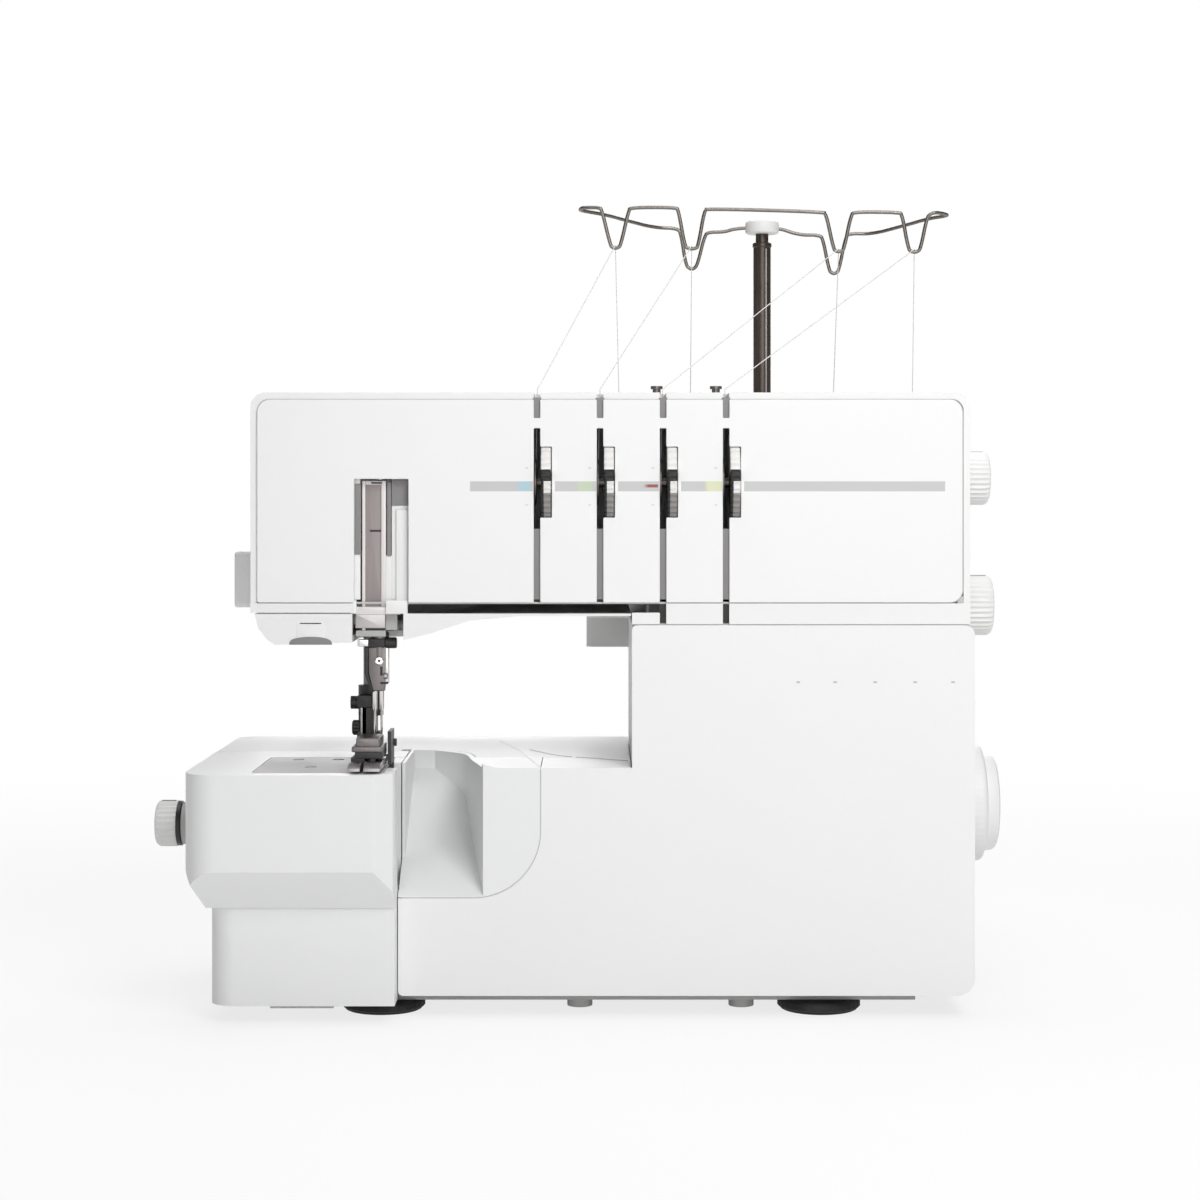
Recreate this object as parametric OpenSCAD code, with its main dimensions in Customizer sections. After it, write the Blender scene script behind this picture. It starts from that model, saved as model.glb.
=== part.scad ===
// Free-standing overlock sewing machine with a four-thread guide mast.
// The machine is laid out from the plane of its front panel (y = 0) and from the second thread
// slot (x = 0); part() moves each piece so that the origin is the middle of the footprint.

/* [Body] */
// Width of the head over its side walls
head_w = 281; // [270:1:290]
// Width of the column under the right end of the head
col_w = 132; // [122:1:140]
// Right face of the column
col_right = 144.5; // [142:0.5:150]
// Depth of the head and column shells
depth = 127; // [120:1:140]
// Height of the head's top
head_top = 244; // [240:1:250]
// Height of the head's lower joint, where the chin cover starts
head_low = 158; // [156:0.5:160]
// Height of the joint between the front door and the head
col_top = 153.5; // [152:0.5:155]
// Height of the bed and the cloth plate
bed_z = 97.5; // [96:0.5:99]
// Radius of the head's upper corners
head_r = 6; // [4:0.5:9]
// Wall of the moulded shells
wall = 2.5; // [1.5:0.25:3]
// Gap between neighbouring shells
gap = 0.35; // [0.3:0.05:0.5]
// Radial clearance of a shaft in its bore
run = 0.05; // [0.02:0.01:0.08]

/* [Front panel] */
// Border of the head shell around the front panel
panel_inset = 2.7; // [2:0.1:4]
// Height of the front panel's lower edge
panel_low = 162; // [161:0.5:164]
// Corner radius of the front panel
panel_r = 5; // [3:0.5:7]
// Distance between neighbouring thread slots
slot_pitch = 24.6; // [24:0.1:25.5]
// Width of a thread slot
slot_w = 2.5; // [2:0.1:3]
// Height of the bridge across each thread slot
bridge_z = 232; // [230:0.5:234]
// Height of the bridge's web
bridge_h = 4; // [3:0.5:6]

/* [Tension dials] */
// Radius of a tension dial
dial_r = 19; // [18:0.5:20]
// Width of a tension dial
dial_w = 3.8; // [3:0.1:4.4]
// Depth of the dial axis behind the front panel
dial_y = 14; // [13:0.5:15]
// Height of the dial axis
dial_z = 209; // [206:0.5:211]
// Distance of a dial's left face from its thread slot's middle
dial_off = 1.6; // [1.5:0.1:2]
// Number of grip ribs on a dial
dial_ribs = 48; // [36:1:60]
// Radius of a tension disc
disc_r = 9; // [7:0.5:10]

/* [Needle and presser] */
// Sideways place of the needle bar
needle_x = -86.8; // [-87.3:0.1:-86.3]
// Depth of the needle bar behind the front panel
needle_y = 12; // [11.9:0.1:12.3]
// Radius of the needle bar
needle_bar_r = 3.2; // [3:0.1:3.4]
// Needle stroke
stroke = 27; // [24:0.5:27]
// Sideways distance from the needle bar to the presser bar
presser_dx = -4.9; // [-5.5:0.1:-4.5]
// Depth from the needle bar to the presser bar
presser_dy = 14; // [13.8:0.1:14.5]
// Radius of the presser bar
presser_r = 3; // [2.6:0.1:3.2]
// Length of the crank that drives the needle bar
crank_r = 40; // [39:0.5:42]
// Height of the presser foot's sole over the cloth plate
sole_gap = 0.9; // [0.8:0.1:1.2]
// Length of the presser foot's toe in front of the needle
toe_len = 35; // [30:1:36]

/* [Lower arm] */
// Width of the needle plate
plate_w = 50; // [46:1:51]
// Depth of the needle plate
plate_d = 59.5; // [56:0.5:60]
// Thickness of the needle plate
plate_t = 2; // [1.5:0.1:2.5]
// Sideways length of the sliding free-arm cover
cover_w = 80; // [76:1:82]
// Distance that the free-arm cover's front stands before the front panel
cover_front = 26; // [25:0.5:28]
// Depth of the free-arm cover
cover_d = 92; // [91:0.5:92.5]
// Radius of the cover's left front edge
cover_r = 13; // [8:1:16]
// Height of the crease above the cover's sloping chin
crease_z = 60.6; // [60.4:0.1:62]
// Height of the chin's lower edge
chin_z = 45; // [42:1:48]
// Radius of the loopers' pivot pin
looper_pin_r = 3; // [2.5:0.1:3.5]

/* [Door] */
// Thickness of the front door
door_t = 3; // [2:0.5:3]
// Amount that the door stands out past the head's right side
door_over = 1.8; // [0.5:0.1:3]
// Corner radius of the door
door_r = 7; // [4:0.5:9]
// Depth of the bed flange along the door's top
door_flange = 41; // [36:1:44]
// Left end of the door above its lower edge
scoop_right = -23; // [-26:0.5:-18]
// Radius of the scoop panel's lower right corner
scoop_r = 26; // [20:1:30]
// Height of the scoop panel's lower edge
scoop_z = 47; // [46.5:0.5:50]
// Radius of the door's hinge rod
hinge_r = 2; // [1.5:0.1:2.5]

/* [Wheels and knobs] */
// Radius of the handwheel
wheel_r = 24.6; // [20:0.2:28]
// Sideways length of the handwheel
wheel_w = 19.5; // [18:0.5:24]
// Radius of the stitch-length dial
length_r = 12.4; // [10:0.2:14]
// Radius of the differential-feed dial
feed_r = 11; // [9:0.2:13]
// Radius of the cutting-width knob
width_r = 9.7; // [8:0.1:11]
// Sideways length of the cutting-width knob with its collar
width_l = 28; // [24:1:30]

/* [Drive] */
// Depth of the main shaft behind the front panel
shaft_y = 85; // [84:0.5:87]
// Height of the main shaft
shaft_z = 74; // [72:0.5:75]
// Radius of the main shaft
shaft_r = 6; // [5:0.25:7]
// Height of the motor axis
motor_z = 128; // [126:0.5:130]
// Room between the motor and the frame's rear wall
motor_room = 4; // [3:0.5:6]
// Room between the large pulley and the frame's rear wall
belt_room = 6; // [5:0.5:8]
// Pitch radius of the motor pulley
motor_pulley_r = 8; // [7:0.25:9]
// Thickness of the drive belt
belt_t = 2; // [1.5:0.25:3]

/* [Thread stand] */
// Radius of the fixed pole tube
pole_r = 3.9; // [3.6:0.1:4.5]
// Radius of the sliding inner pole
mast_r = 2.85; // [2.4:0.05:3]
// Height of the top of the fixed pole tube
pole_top = 316; // [310:1:320]
// Depth of the spool stand
stand_d = 103; // [98:1:110]
// Height of the spool stand's upper face
stand_z = 150; // [147:1:152]
// Thickness of the spool stand
stand_t = 13; // [8:1:13]
// Height of a spool pin above the stand
spool_h = 76; // [60:1:77]
// Radius of a thread cone's foot
cone_r = 20; // [16:0.5:22]
// Height of a thread cone
cone_h = 78; // [60:1:82]
// Radius of the guide wire
wire_r = 0.8; // [0.6:0.1:1]

/* [Base] */
// Height of the rubber feet
foot_h = 4.7; // [3.5:0.1:6]
// Radius of a rubber foot
foot_r = 16.5; // [12:0.5:18]
// Thickness of the base plate
base_t = 3.9; // [3:0.1:4.3]

/* [Hidden] */
$fn = 96;
shell_white = "WhiteSmoke";
steel = "Silver";
casting = "DarkGray";
rubber_black = "#202020";
blade = "DimGray";

col_left = col_right - col_w;
head_left = col_right - head_w;
head_front = 1.2;
base_top = foot_h + base_t;
plate_right = needle_x + 3.4;
plate_left = plate_right - plate_w;
plate_front = needle_y - 30;
plate_back = plate_front + plate_d;
cover_right = plate_right + 4.1;
cover_left = cover_right - cover_w;
cover_back = cover_d - cover_front;
arm_left = cover_left + 8.4;
arm_right = cover_right + 0.15;
arm_front = -12;
arm_top = 60;
bed_left = cover_left + 0.3;
bed_rear = depth + 3;
rear_t = 2.5;
presser_x = needle_x + presser_dx;
presser_y = needle_y + presser_dy;
sole_z = bed_z + sole_gap;
door_right = col_right + door_over;
door_low = 8.6;
door_back = 6;
hinge_y = 6.5;
hinge_z = 13;
wheel_end = col_right + wheel_w + 3;
knob_end = bed_left - width_l;
knob_y = 80;
knob_z = 65.7;
side_dial_y = 60;
length_z = 158.5;
feed_z = 211;
stand_y = depth + 5;
stand_left = -6;
stand_w = 164;
pole_x = 72.4;
pole_y = stand_y + 10;
pin_post_r = 2.6;
wire_z = pole_top + 10.5;
wire_sides = 6;
hub_z = wire_z - 2.7;
mid_x = (knob_end + wheel_end) / 2;
mid_y = (stand_y + stand_d - cover_front) / 2;

// The frame casting
frame_left_plate = col_left + 7.5;
frame_mid_plate = col_right - 48.5;
frame_end_plate = col_right - 16.5;
frame_t = 7;
frame_wall = 6;
frame_back = depth - 8;
frame_top = head_top - 12;
motor_r = frame_back - frame_wall - motor_room - shaft_y;
pulley_r = frame_back - frame_wall - belt_room - shaft_y;
arm_plate_y = needle_y + 50;
arm_low = head_low + 10;
guide_z = [head_low - 5, head_top - 42];
guide_h = 8;
crank_y = needle_y + 39;
crank_z = head_top - 62.5;
crank_boss = [10, 20];
boss_r = 9;
swing = asin(stroke / 2 / crank_r);
pin_r = 2.2;
pin_y = crank_y - crank_r * cos(swing);
pin_z = crank_z + crank_r * sin(swing);
crank_plate_x = needle_x + 10.2;
lifter_y = presser_y + 14;
lifter_z = 176;
lifter_arm = 12;
lifter_pin_r = 2.5;
lifter_tip_r = 2;
lifter_rise = 3.6;
collar_z = lifter_z + lifter_rise + lifter_tip_r + 0.3;
looper_x = needle_x - 5.2;
looper_z = bed_z - 67.5;
looper_y = [needle_y - 6.4, needle_y + 2];
looper_t = 3;
looper_block = 14;
knife_x = plate_right + 0.3;
knife_y = [1.5, 19];
knife_t = 1.4;

// Bushes, side shafts and pins
press = 0.01;
bush_r = shaft_r + 2;
bush_x = [-66, -58];
arm_shaft_r = 5;
arm_bush_r = arm_shaft_r + 2;
side_shaft_r = 3;
motor_shaft_r = 4;
stud_r = 2;

// Belt pulleys, motor and power inlet
pulley_x = frame_mid_plate + 13;
pulley_w = 9;
flange_t = 1.6;
motor_l = 50;
inlet_y = [70, 116];
inlet_z = [22, 42];
socket_y = [95, 113];
switch_x = col_right - 6;
switch_y = 81;
switch_half = 8.5;
switch_tilt = 7;

// Waste chute: left end of its ramp, wall, depth and the ramp's ends
chute_left = cover_right + 0.6;
chute_t = 2.2;
chute_d = 70;
ramp_low = scoop_z + 0.6;
ramp_high = bed_z - 7.5;
knife_low = 50;

// Hinge ears and feet
hinge_lugs = [-44, 96];
lug_w = 5;
foot_places = [[-86, 20], [87, 20], [-86, 104], [87, 104]];
base_front = 3;
foot_screw_y = foot_r + 5;

// Places of the rear cover's screws, in x and z
rear_screws = [[head_left + 14, 226], [head_left + 14, 166], [0, 226], [col_right - 14, 226],
    [col_right - 14, 30], [col_left + 16, 30], [col_right - 14, 120]];

// Recess beside the needle bar, with the face plate that stands in it
recess_left = needle_x - 9.2;
recess_right = needle_x + 12;
recess_top = dial_z + 1.2;
recess_low = panel_low + 1;
face_x = [recess_left + 2.8, recess_right - 7.5];
face_y = [4, 7.4];
face_z = [panel_low - 13.5, panel_low - 11, panel_low - 1.7, recess_top - 0.6];
face_front = 2.8;

// Thread cutter on the head's left side, in y and z
cutter_l = 11.5;
cutter_low = [34, head_low + 0.6];
cutter_high = [47, head_low + 23];

// Lamp in the chin
lamp_x = head_left + 23.5;
lamp_y = 8.5;
lamp_r = 8;

// Needle plate, needles and presser foot
feed_rows = [looper_x - 6, looper_x + 3];
feed_row_w = 3;
plate_screws = [[plate_left + 12, 32], [plate_left + 28, 32], [plate_left + 20, 4]];
screw_r = 2.4;
needle_xs = [needle_x - 2, needle_x + 0.6];
needle_shank_r = 1;
blade_r = 0.5;
needle_tip = bed_z + 9.5;
needle_slot = [[needle_x - 4, needle_y - 2.4], [needle_x + 2.2, needle_y + 2.4]];
clamp_z = [131, 139.2, 150];
ankle_y = presser_y - 6;
ankle_z = sole_z + 8.6;
ankle_r = 1.2;
foot_right = knife_x - 0.4;
foot_half = 4.8;
spring_turns = 4;
spring_r = 4.4;

// Threads: cone, guide dip and slot of each, from left to right
slots = [for (i = [-1:2]) i * slot_pitch];
cone_x = [9, 42, 108, 141];
cone_y = [stand_y + 33, stand_y + 68, stand_y + 68, stand_y + 33];
dip_x = [6.6, 39.3, 102.3, 134.7];
dip_y = pole_y - 46;
dip_drop = [16.5, 16.8, 18, 18.2];
thread_r = 0.2;

// ---------- helpers ----------

// Moves a piece from the layout's datum to the middle of the footprint
module part(tone) translate([-mid_x, -mid_y, 0]) color(tone) children();

// Box between two opposite corners
module box(low, high) translate(low) cube(high - low);

// Round bars along each axis
module rod_x(x0, x1, y, z, r) translate([x0, y, z]) rotate([0, 90, 0]) cylinder(h = x1 - x0, r = r);
module rod_y(y0, y1, x, z, r) translate([x, y0, z]) rotate([-90, 0, 0]) cylinder(h = y1 - y0, r = r);
module rod_z(z0, z1, x, y, r) translate([x, y, z0]) cylinder(h = z1 - z0, r = r);

// Outline in x and z, extruded from y0 to y1
module prism_y(y0, y1) translate([0, y1, 0]) rotate([90, 0, 0]) linear_extrude(y1 - y0) children();

// Outline in y and z, extruded from x0 to x1
module prism_x(x0, x1) translate([x0, 0, 0]) rotate([90, 0, 90]) linear_extrude(x1 - x0) children();

// Rectangle between two corners, with the radius of each corner: lower left, lower right,
// upper right, upper left
module panel_2d(low, high, radii) {
    corners = [low, [high[0], low[1]], high, [low[0], high[1]]];
    inward = [[1, 1], [-1, 1], [-1, -1], [1, -1]];
    polygon([for (i = [0:3])
        each radii[i] == 0 ? [corners[i]] : let (step = inward[i] * radii[i],
            beside = corners[i] + [step[0], 0], above = corners[i] + [0, step[1]])
            (i % 2 == 0 ? [above, beside] : [beside, above])]);
    for (i = [0:3]) if (radii[i] > 0) translate(corners[i] + inward[i] * radii[i]) circle(radii[i]);
}

// Toothed wheel outline: a disc with round-bottomed grooves
module ribbed_2d(r, count, groove) difference() {
    circle(r);
    for (i = [0:count - 1]) rotate(i * 360 / count) translate([r + groove * 0.35, 0]) circle(groove, $fn = 16);
}

// Unit vector
function unit(v) = v / norm(v);

// Tangent of a path at point i
function tangent(path, i, closed) =
    let (n = len(path),
        before = closed ? path[(i + n - 1) % n] : path[max(i - 1, 0)],
        after = closed ? path[(i + 1) % n] : path[min(i + 1, n - 1)])
    unit(unit(after - path[i] + [0, 0, 1e-9]) + unit(path[i] - before + [0, 0, 1e-9]));

// Ring of a swept tube around point i
function ring(path, i, r, sides, ref, closed) =
    let (t = tangent(path, i, closed), u = unit(cross(ref, t)), v = cross(t, u))
    [for (k = [0:sides - 1]) path[i] + r * (cos(k * 360 / sides) * u + sin(k * 360 / sides) * v)];

// Tube of radius r along a path
module tube(path, r, sides = 8, ref = [0, 0, 1], closed = false) {
    n = len(path);
    points = [for (i = [0:n - 1]) each ring(path, i, r, sides, ref, closed)];
    last = closed ? n - 1 : n - 2;
    walls = [for (i = [0:last]) for (k = [0:sides - 1])
        [i * sides + k, ((i + 1) % n) * sides + k, ((i + 1) % n) * sides + (k + 1) % sides,
            i * sides + (k + 1) % sides]];
    caps = closed ? [] : [[for (k = [0:sides - 1]) k], [for (k = [sides - 1:-1:0]) (n - 1) * sides + k]];
    polyhedron(points, concat(walls, caps), convexity = 8);
}

// ---------- base and frame ----------

module base_plate() part("Gray") {
    difference() {
        union() {
            translate([0, 0, foot_h]) linear_extrude(base_t)
                panel_2d([arm_left + wall + gap, base_front], [plate_right - gap, depth - gap], [8, 0, 0, 0]);
            // Tab under the free arm's front
            box([-127.5, arm_front + wall + gap, foot_h + 0.9], [-103, base_front + 1, base_top]);
            box([arm_left + wall + gap, 12, foot_h], [col_right - 20, depth - gap, base_top]);
            box([bed_left + wall + gap, cover_back + 3 + wall, foot_h], [0, depth - gap, base_top]);
            for (x = [-8, 56]) rod_z(foot_h - 3.2, base_top, x, 18, 5);
            for (x = hinge_lugs) hinge_lug(x);
        }
        rod_x(-80, col_right, hinge_y, hinge_z, hinge_r + run);
    }
}

// Upright ear that carries the door's hinge rod
module hinge_lug(x) {
    box([x, 12, foot_h], [x + lug_w, 20, hinge_z + 4]);
    rod_x(x, x + lug_w, hinge_y, hinge_z, 3.4);
    box([x, hinge_y, hinge_z - 2], [x + lug_w, 13, hinge_z + 3.4]);
}

module rubber_feet() part(rubber_black) for (p = foot_places) {
    rod_z(1, foot_h, p[0], p[1], foot_r);
    rod_z(0, 1, p[0], p[1], foot_r - 1.2);
}

module main_frame() part(casting) difference() {
    union() {
        // Foot and column walls
        box([frame_left_plate, 32, base_top], [frame_end_plate + 4, frame_back, base_top + frame_wall]);
        box([looper_x - 20, 72, base_top], [frame_left_plate + 1, frame_back - frame_wall, base_top + frame_wall]);
        for (x = [frame_left_plate, frame_mid_plate, frame_end_plate])
            box([x, 44, base_top], [x + frame_t - 2, frame_back, head_top - wall - 8]);
        box([frame_left_plate, frame_back - frame_wall, base_top], [frame_end_plate + 4, frame_back, frame_top]);
        for (x = [frame_left_plate, frame_mid_plate, frame_end_plate])
            rod_x(x - 3, x + frame_t, shaft_y, shaft_z, 14);
        // Upper arm
        box([head_left + 10, arm_plate_y, arm_low], [frame_mid_plate + 1, arm_plate_y + frame_t, frame_top]);
        box([frame_left_plate - 8, arm_plate_y, arm_low], [frame_left_plate + 1, frame_back, frame_top]);
        for (z = guide_z) box([presser_x - 7, needle_y - 3.4, z], [needle_x + 4.6, arm_plate_y + 1, z + guide_h]);
        box([presser_x - 12, arm_plate_y, guide_z[0]], [presser_x - 3, arm_plate_y + frame_t, arm_low + 1]);
        box([presser_x - 12, 50, guide_z[0]], [presser_x - 6.8, arm_plate_y + 2, guide_z[1] + guide_h]);
        rod_x(crank_plate_x + crank_boss[0], crank_plate_x + crank_boss[1], crank_y, crank_z, boss_r);
        box([crank_plate_x + crank_boss[0], crank_y, crank_z - boss_r],
            [crank_plate_x + crank_boss[1], arm_plate_y + 1, crank_z + boss_r]);
        rod_x(frame_left_plate - 3, frame_left_plate + frame_t, crank_y, crank_z, boss_r);
        // Stud that the lifter lever turns on
        box([presser_x - 11.8, lifter_y - 5, lifter_z - 6], [presser_x - 6, 54, lifter_z + 6]);
        rod_x(presser_x - 7, presser_x + 4, lifter_y, lifter_z, lifter_pin_r);
        // Lower arm
        box([looper_x - looper_block, shaft_y - 12, base_top], [bush_x[1] - 2, shaft_y - 7, 88]);
        box([looper_x - looper_block, 47, base_top], [plate_right - gap, 60, 92]);
        box([looper_x - looper_block, 59, base_top], [plate_right - gap, shaft_y - 12, 86]);
        rod_y(looper_y[0] - 2, 48, looper_x, looper_z, looper_pin_r);
        box([bush_x[0], shaft_y - boss_r, base_top], [bush_x[1], shaft_y + boss_r, shaft_z + boss_r]);
    }
    // Shaft bores, with room for their bushes
    rod_x(-80, col_right, shaft_y, shaft_z, bush_r);
    rod_x(crank_plate_x, frame_left_plate + 9, crank_y, crank_z, arm_bush_r);
    // Bores of the needle bar and the presser bar
    rod_z(140, head_top, needle_x, needle_y, needle_bar_r + run);
    rod_z(140, head_top, presser_x, presser_y, presser_r + run);
    // Window of the feed bar
    box([looper_x - 3.5, 40, 79.5], [looper_x + 3.5, 80, 88.5]);
    // Room for the lifter's handle
    box([presser_x - 5.8, arm_plate_y - 12, 150], [presser_x + 4.6, frame_back, 201]);
    // Window for the power inlet and the switch
    box([frame_end_plate - 12, inlet_y[0] - 30, inlet_z[0] - 6], [col_right, inlet_y[1] + 5, inlet_z[1] + 5]);
    // Shafts of the side dials, the belt and the motor
    rod_x(frame_end_plate - 9, col_right, side_dial_y, length_z, side_shaft_r + run);
    rod_x(frame_end_plate - 9, col_right, side_dial_y, feed_z, side_shaft_r + run);
    rod_x(frame_mid_plate - 9, frame_mid_plate + 9, shaft_y, motor_z, motor_pulley_r + 1);
}

module shaft_bushes() part("Goldenrod") {
    for (span = [bush_x, [frame_left_plate - 3, frame_left_plate + frame_t],
            [frame_mid_plate - 3, frame_mid_plate + frame_t], [frame_end_plate - 3, frame_end_plate + frame_t]])
        bush(span, shaft_y, shaft_z, bush_r - press, shaft_r);
    for (span = [[crank_plate_x + crank_boss[0], crank_plate_x + crank_boss[1]], [frame_left_plate - 3, frame_left_plate + frame_t]])
        bush(span, crank_y, crank_z, arm_bush_r - press, arm_shaft_r);
}

module bush(span, y, z, outer, inner) difference() {
    rod_x(span[0], span[1], y, z, outer);
    rod_x(span[0] - 1, span[1] + 1, y, z, inner + run);
}

// ---------- shells ----------

// Head outline in x and z, moved inward and opened downward by its arguments
module head_2d(inset, low) {
    panel_2d([head_left + inset, low], [col_right - inset, head_top - inset],
        [0, 0, head_r - inset / 2, head_r - inset / 2]);
}

module head_shell() part(shell_white) difference() {
    union() {
        difference() {
            prism_y(head_front, depth) head_2d(0, head_low);
            prism_y(head_front - 1, depth + 1) head_2d(wall, head_low - 1);
        }
        // Right wall and lip over the door
        box([col_right - wall, head_front, col_top], [col_right, depth, head_low + 1]);
        box([slots[2] + slot_w / 2, head_front - 0.7, col_top], [col_right, head_front + 3.3, panel_low - gap]);
        box([col_left, head_front - 0.7, col_top], [slots[2] + slot_w, head_front + 3.3, head_low]);
        // Lip left of the face plate
        box([head_left, head_front - 0.7, head_low], [recess_left, head_front + 2, panel_low - gap]);
    }
    // Thread slots through the top edge
    for (x = slots) box([x - slot_w / 2, -1, head_top - 2 * wall], [x + slot_w / 2, 16, head_top + 1]);
    // Slots in the lip
    for (x = [slots[2], slots[3]])
        box([x - slot_w / 2, -1, col_top - 1], [x + slot_w / 2, head_front + 1.4, panel_low]);
    // Holes of the side dials and of the cutter
    rod_x(col_right - 9, col_right + 1, side_dial_y, length_z, side_shaft_r + 0.5);
    rod_x(col_right - 9, col_right + 1, side_dial_y, feed_z, side_shaft_r + 0.5);
}

module front_panel() part(shell_white) difference() {
    prism_y(0, wall) panel_2d([head_left + panel_inset, panel_low],
        [col_right - panel_inset - 0.4, head_top - wall - gap],
        [1, panel_r, panel_r, panel_r]);
    box([recess_left, -1, panel_low - 1], [recess_right, wall + 1, recess_top]);
    for (x = slots) {
        box([x - slot_w / 2, -1, bridge_z + bridge_h / 2], [x + slot_w / 2, wall + 1, head_top]);
        box([x - slot_w / 2, -1, panel_low - 1], [x + slot_w / 2, wall + 1, bridge_z - bridge_h / 2]);
        // Window of the tension dial
        rod_x(x + slot_w / 2 - 1, x + dial_off + dial_w + gap, dial_y, dial_z, dial_r + 0.6);
    }
}

// Underside of the head: outline points from the head's left wall to the column
module chin_2d(lift) polygon([
    [head_left + 1.5 + lift, head_low + lift * 4], [head_left + 1.5 + lift, head_low + lift],
    [head_left + 3 + lift, 152 + lift], [head_left + 6.5 + lift / 2, 147.5 + lift],
    [head_left + 9.5, 145.5 + lift], [-78, 147 + lift], [-66, 150 + lift], [-50.7, 155 + lift],
    [-31, 156.7 + lift], [col_left - gap, 156.7 + lift], [col_left - gap, head_low + lift * 4]]);

module chin_cover() part(shell_white) difference() {
    prism_y(head_front, depth - gap) chin_2d(0);
    prism_y(head_front + wall, depth - wall - gap) chin_2d(wall);
    box([head_left - 1, 0, head_low - gap], [col_left, depth + 1, head_top]);
    // Opening for the needle bar, the presser bar and the face plate
    box([recess_left - 0.8, -1, 140], [recess_right - 2, presser_y + 8, head_low + 1]);
    // Lamp window, which also notches the lower front edge
    rod_z(140, 154, lamp_x, lamp_y, lamp_r + gap);
}

module lamp_lens() part("LightYellow") intersection() {
    rod_z(146.3, 152, lamp_x, lamp_y, lamp_r);
    box([lamp_x - 20, head_front + 1, 140], [lamp_x + 20, 30, 160]);
}

module column_shell() part(shell_white) difference() {
    translate([0, 0, door_low]) linear_extrude(col_top - door_low - gap)
        panel_2d([col_left, door_back + gap], [col_right, depth], [0, 0, 4, 2]);
    translate([0, 0, door_low - 1]) linear_extrude(col_top)
        panel_2d([col_left + wall, 0], [col_right - wall, depth - wall], [0, 0, 2, 1]);
    // Rear service opening, closed by the rear cover
    box([col_left + 8, depth - wall - 1, 16], [col_right - 8, depth + 1, col_top + 1]);
    rod_x(col_right - 6, col_right + 1, shaft_y, shaft_z, shaft_r + 1);
    // Room for the open door's lower edge
    box([col_right - wall - 1, 0, door_low - 1], [col_right + 1, 12, hinge_z + 4]);
    // Openings for the lower arm of the frame and for the hinge rod
    box([col_left - 1, cover_back, door_low - 1], [col_left + wall + 1, frame_back + 1, 92]);
    box([col_left - 1, 0, door_low - 1], [col_left + wall + 1, hinge_y + 4, hinge_z + 4]);
    box([col_right - 9, inlet_y[0], inlet_z[0]], [col_right + 1, inlet_y[1], inlet_z[1]]);
}

module rear_cover() part(shell_white) difference() {
    prism_y(depth + 0.1, depth + rear_t) union() {
        panel_2d([head_left + 2, head_low - 6], [col_right - 2, head_top - 2], [3, 3, 5, 5]);
        panel_2d([col_left + 2, 12], [col_right - 2, head_low + 10], [3, 3, 0, 0]);
    }
    // Ventilation slots behind the motor
    for (i = [0:7]) box([50, depth - 1, 96 + i * 5], [92, depth + 4, 98 + i * 5]);
    // Slot of the lifter lever
    box([presser_x - 6.5, depth - 1, 150], [presser_x + 6.5, depth + 4, 212]);
}

module bed_shell() part(shell_white) difference() {
    union() {
        difference() {
            translate([0, 0, door_low]) linear_extrude(bed_z - door_low) union() {
                panel_2d([bed_left, cover_back + gap], [col_left - gap, bed_rear], [2, 0, 2, 8]);
                translate([cover_right + 0.5, door_flange + gap])
                    square([col_left - gap - cover_right - 0.5, 40]);
            }
            translate([0, 0, door_low - 1]) linear_extrude(bed_z - door_low + 1 - wall) union() {
                panel_2d([bed_left + wall, cover_back + gap + wall], [col_left + 1, bed_rear - wall],
                    [1, 0, 0, 6]);
                translate([cover_right - 4, door_flange - 1]) square([col_left - cover_right + 1.5, 50]);
            }
        }
        // Boss behind the cutting-width knob
        rod_x(bed_left + 1, bed_left + 14, knob_y, knob_z, 7);
    }
    // Notch for the waste chute
    translate([0, 0, scoop_z - 30]) linear_extrude(90) chute_plan(chute_t + gap, chute_t + 0.4 + gap, 4);
    rod_x(bed_left - 1, bed_left + 20, knob_y, knob_z, side_shaft_r + run);
    // Room for the frame's lower arm
    box([looper_x - 14 - gap, cover_back - 1, door_low - 1], [plate_right, cover_back + 5, 88 + gap]);
}

// ---------- lower arm ----------

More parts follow.
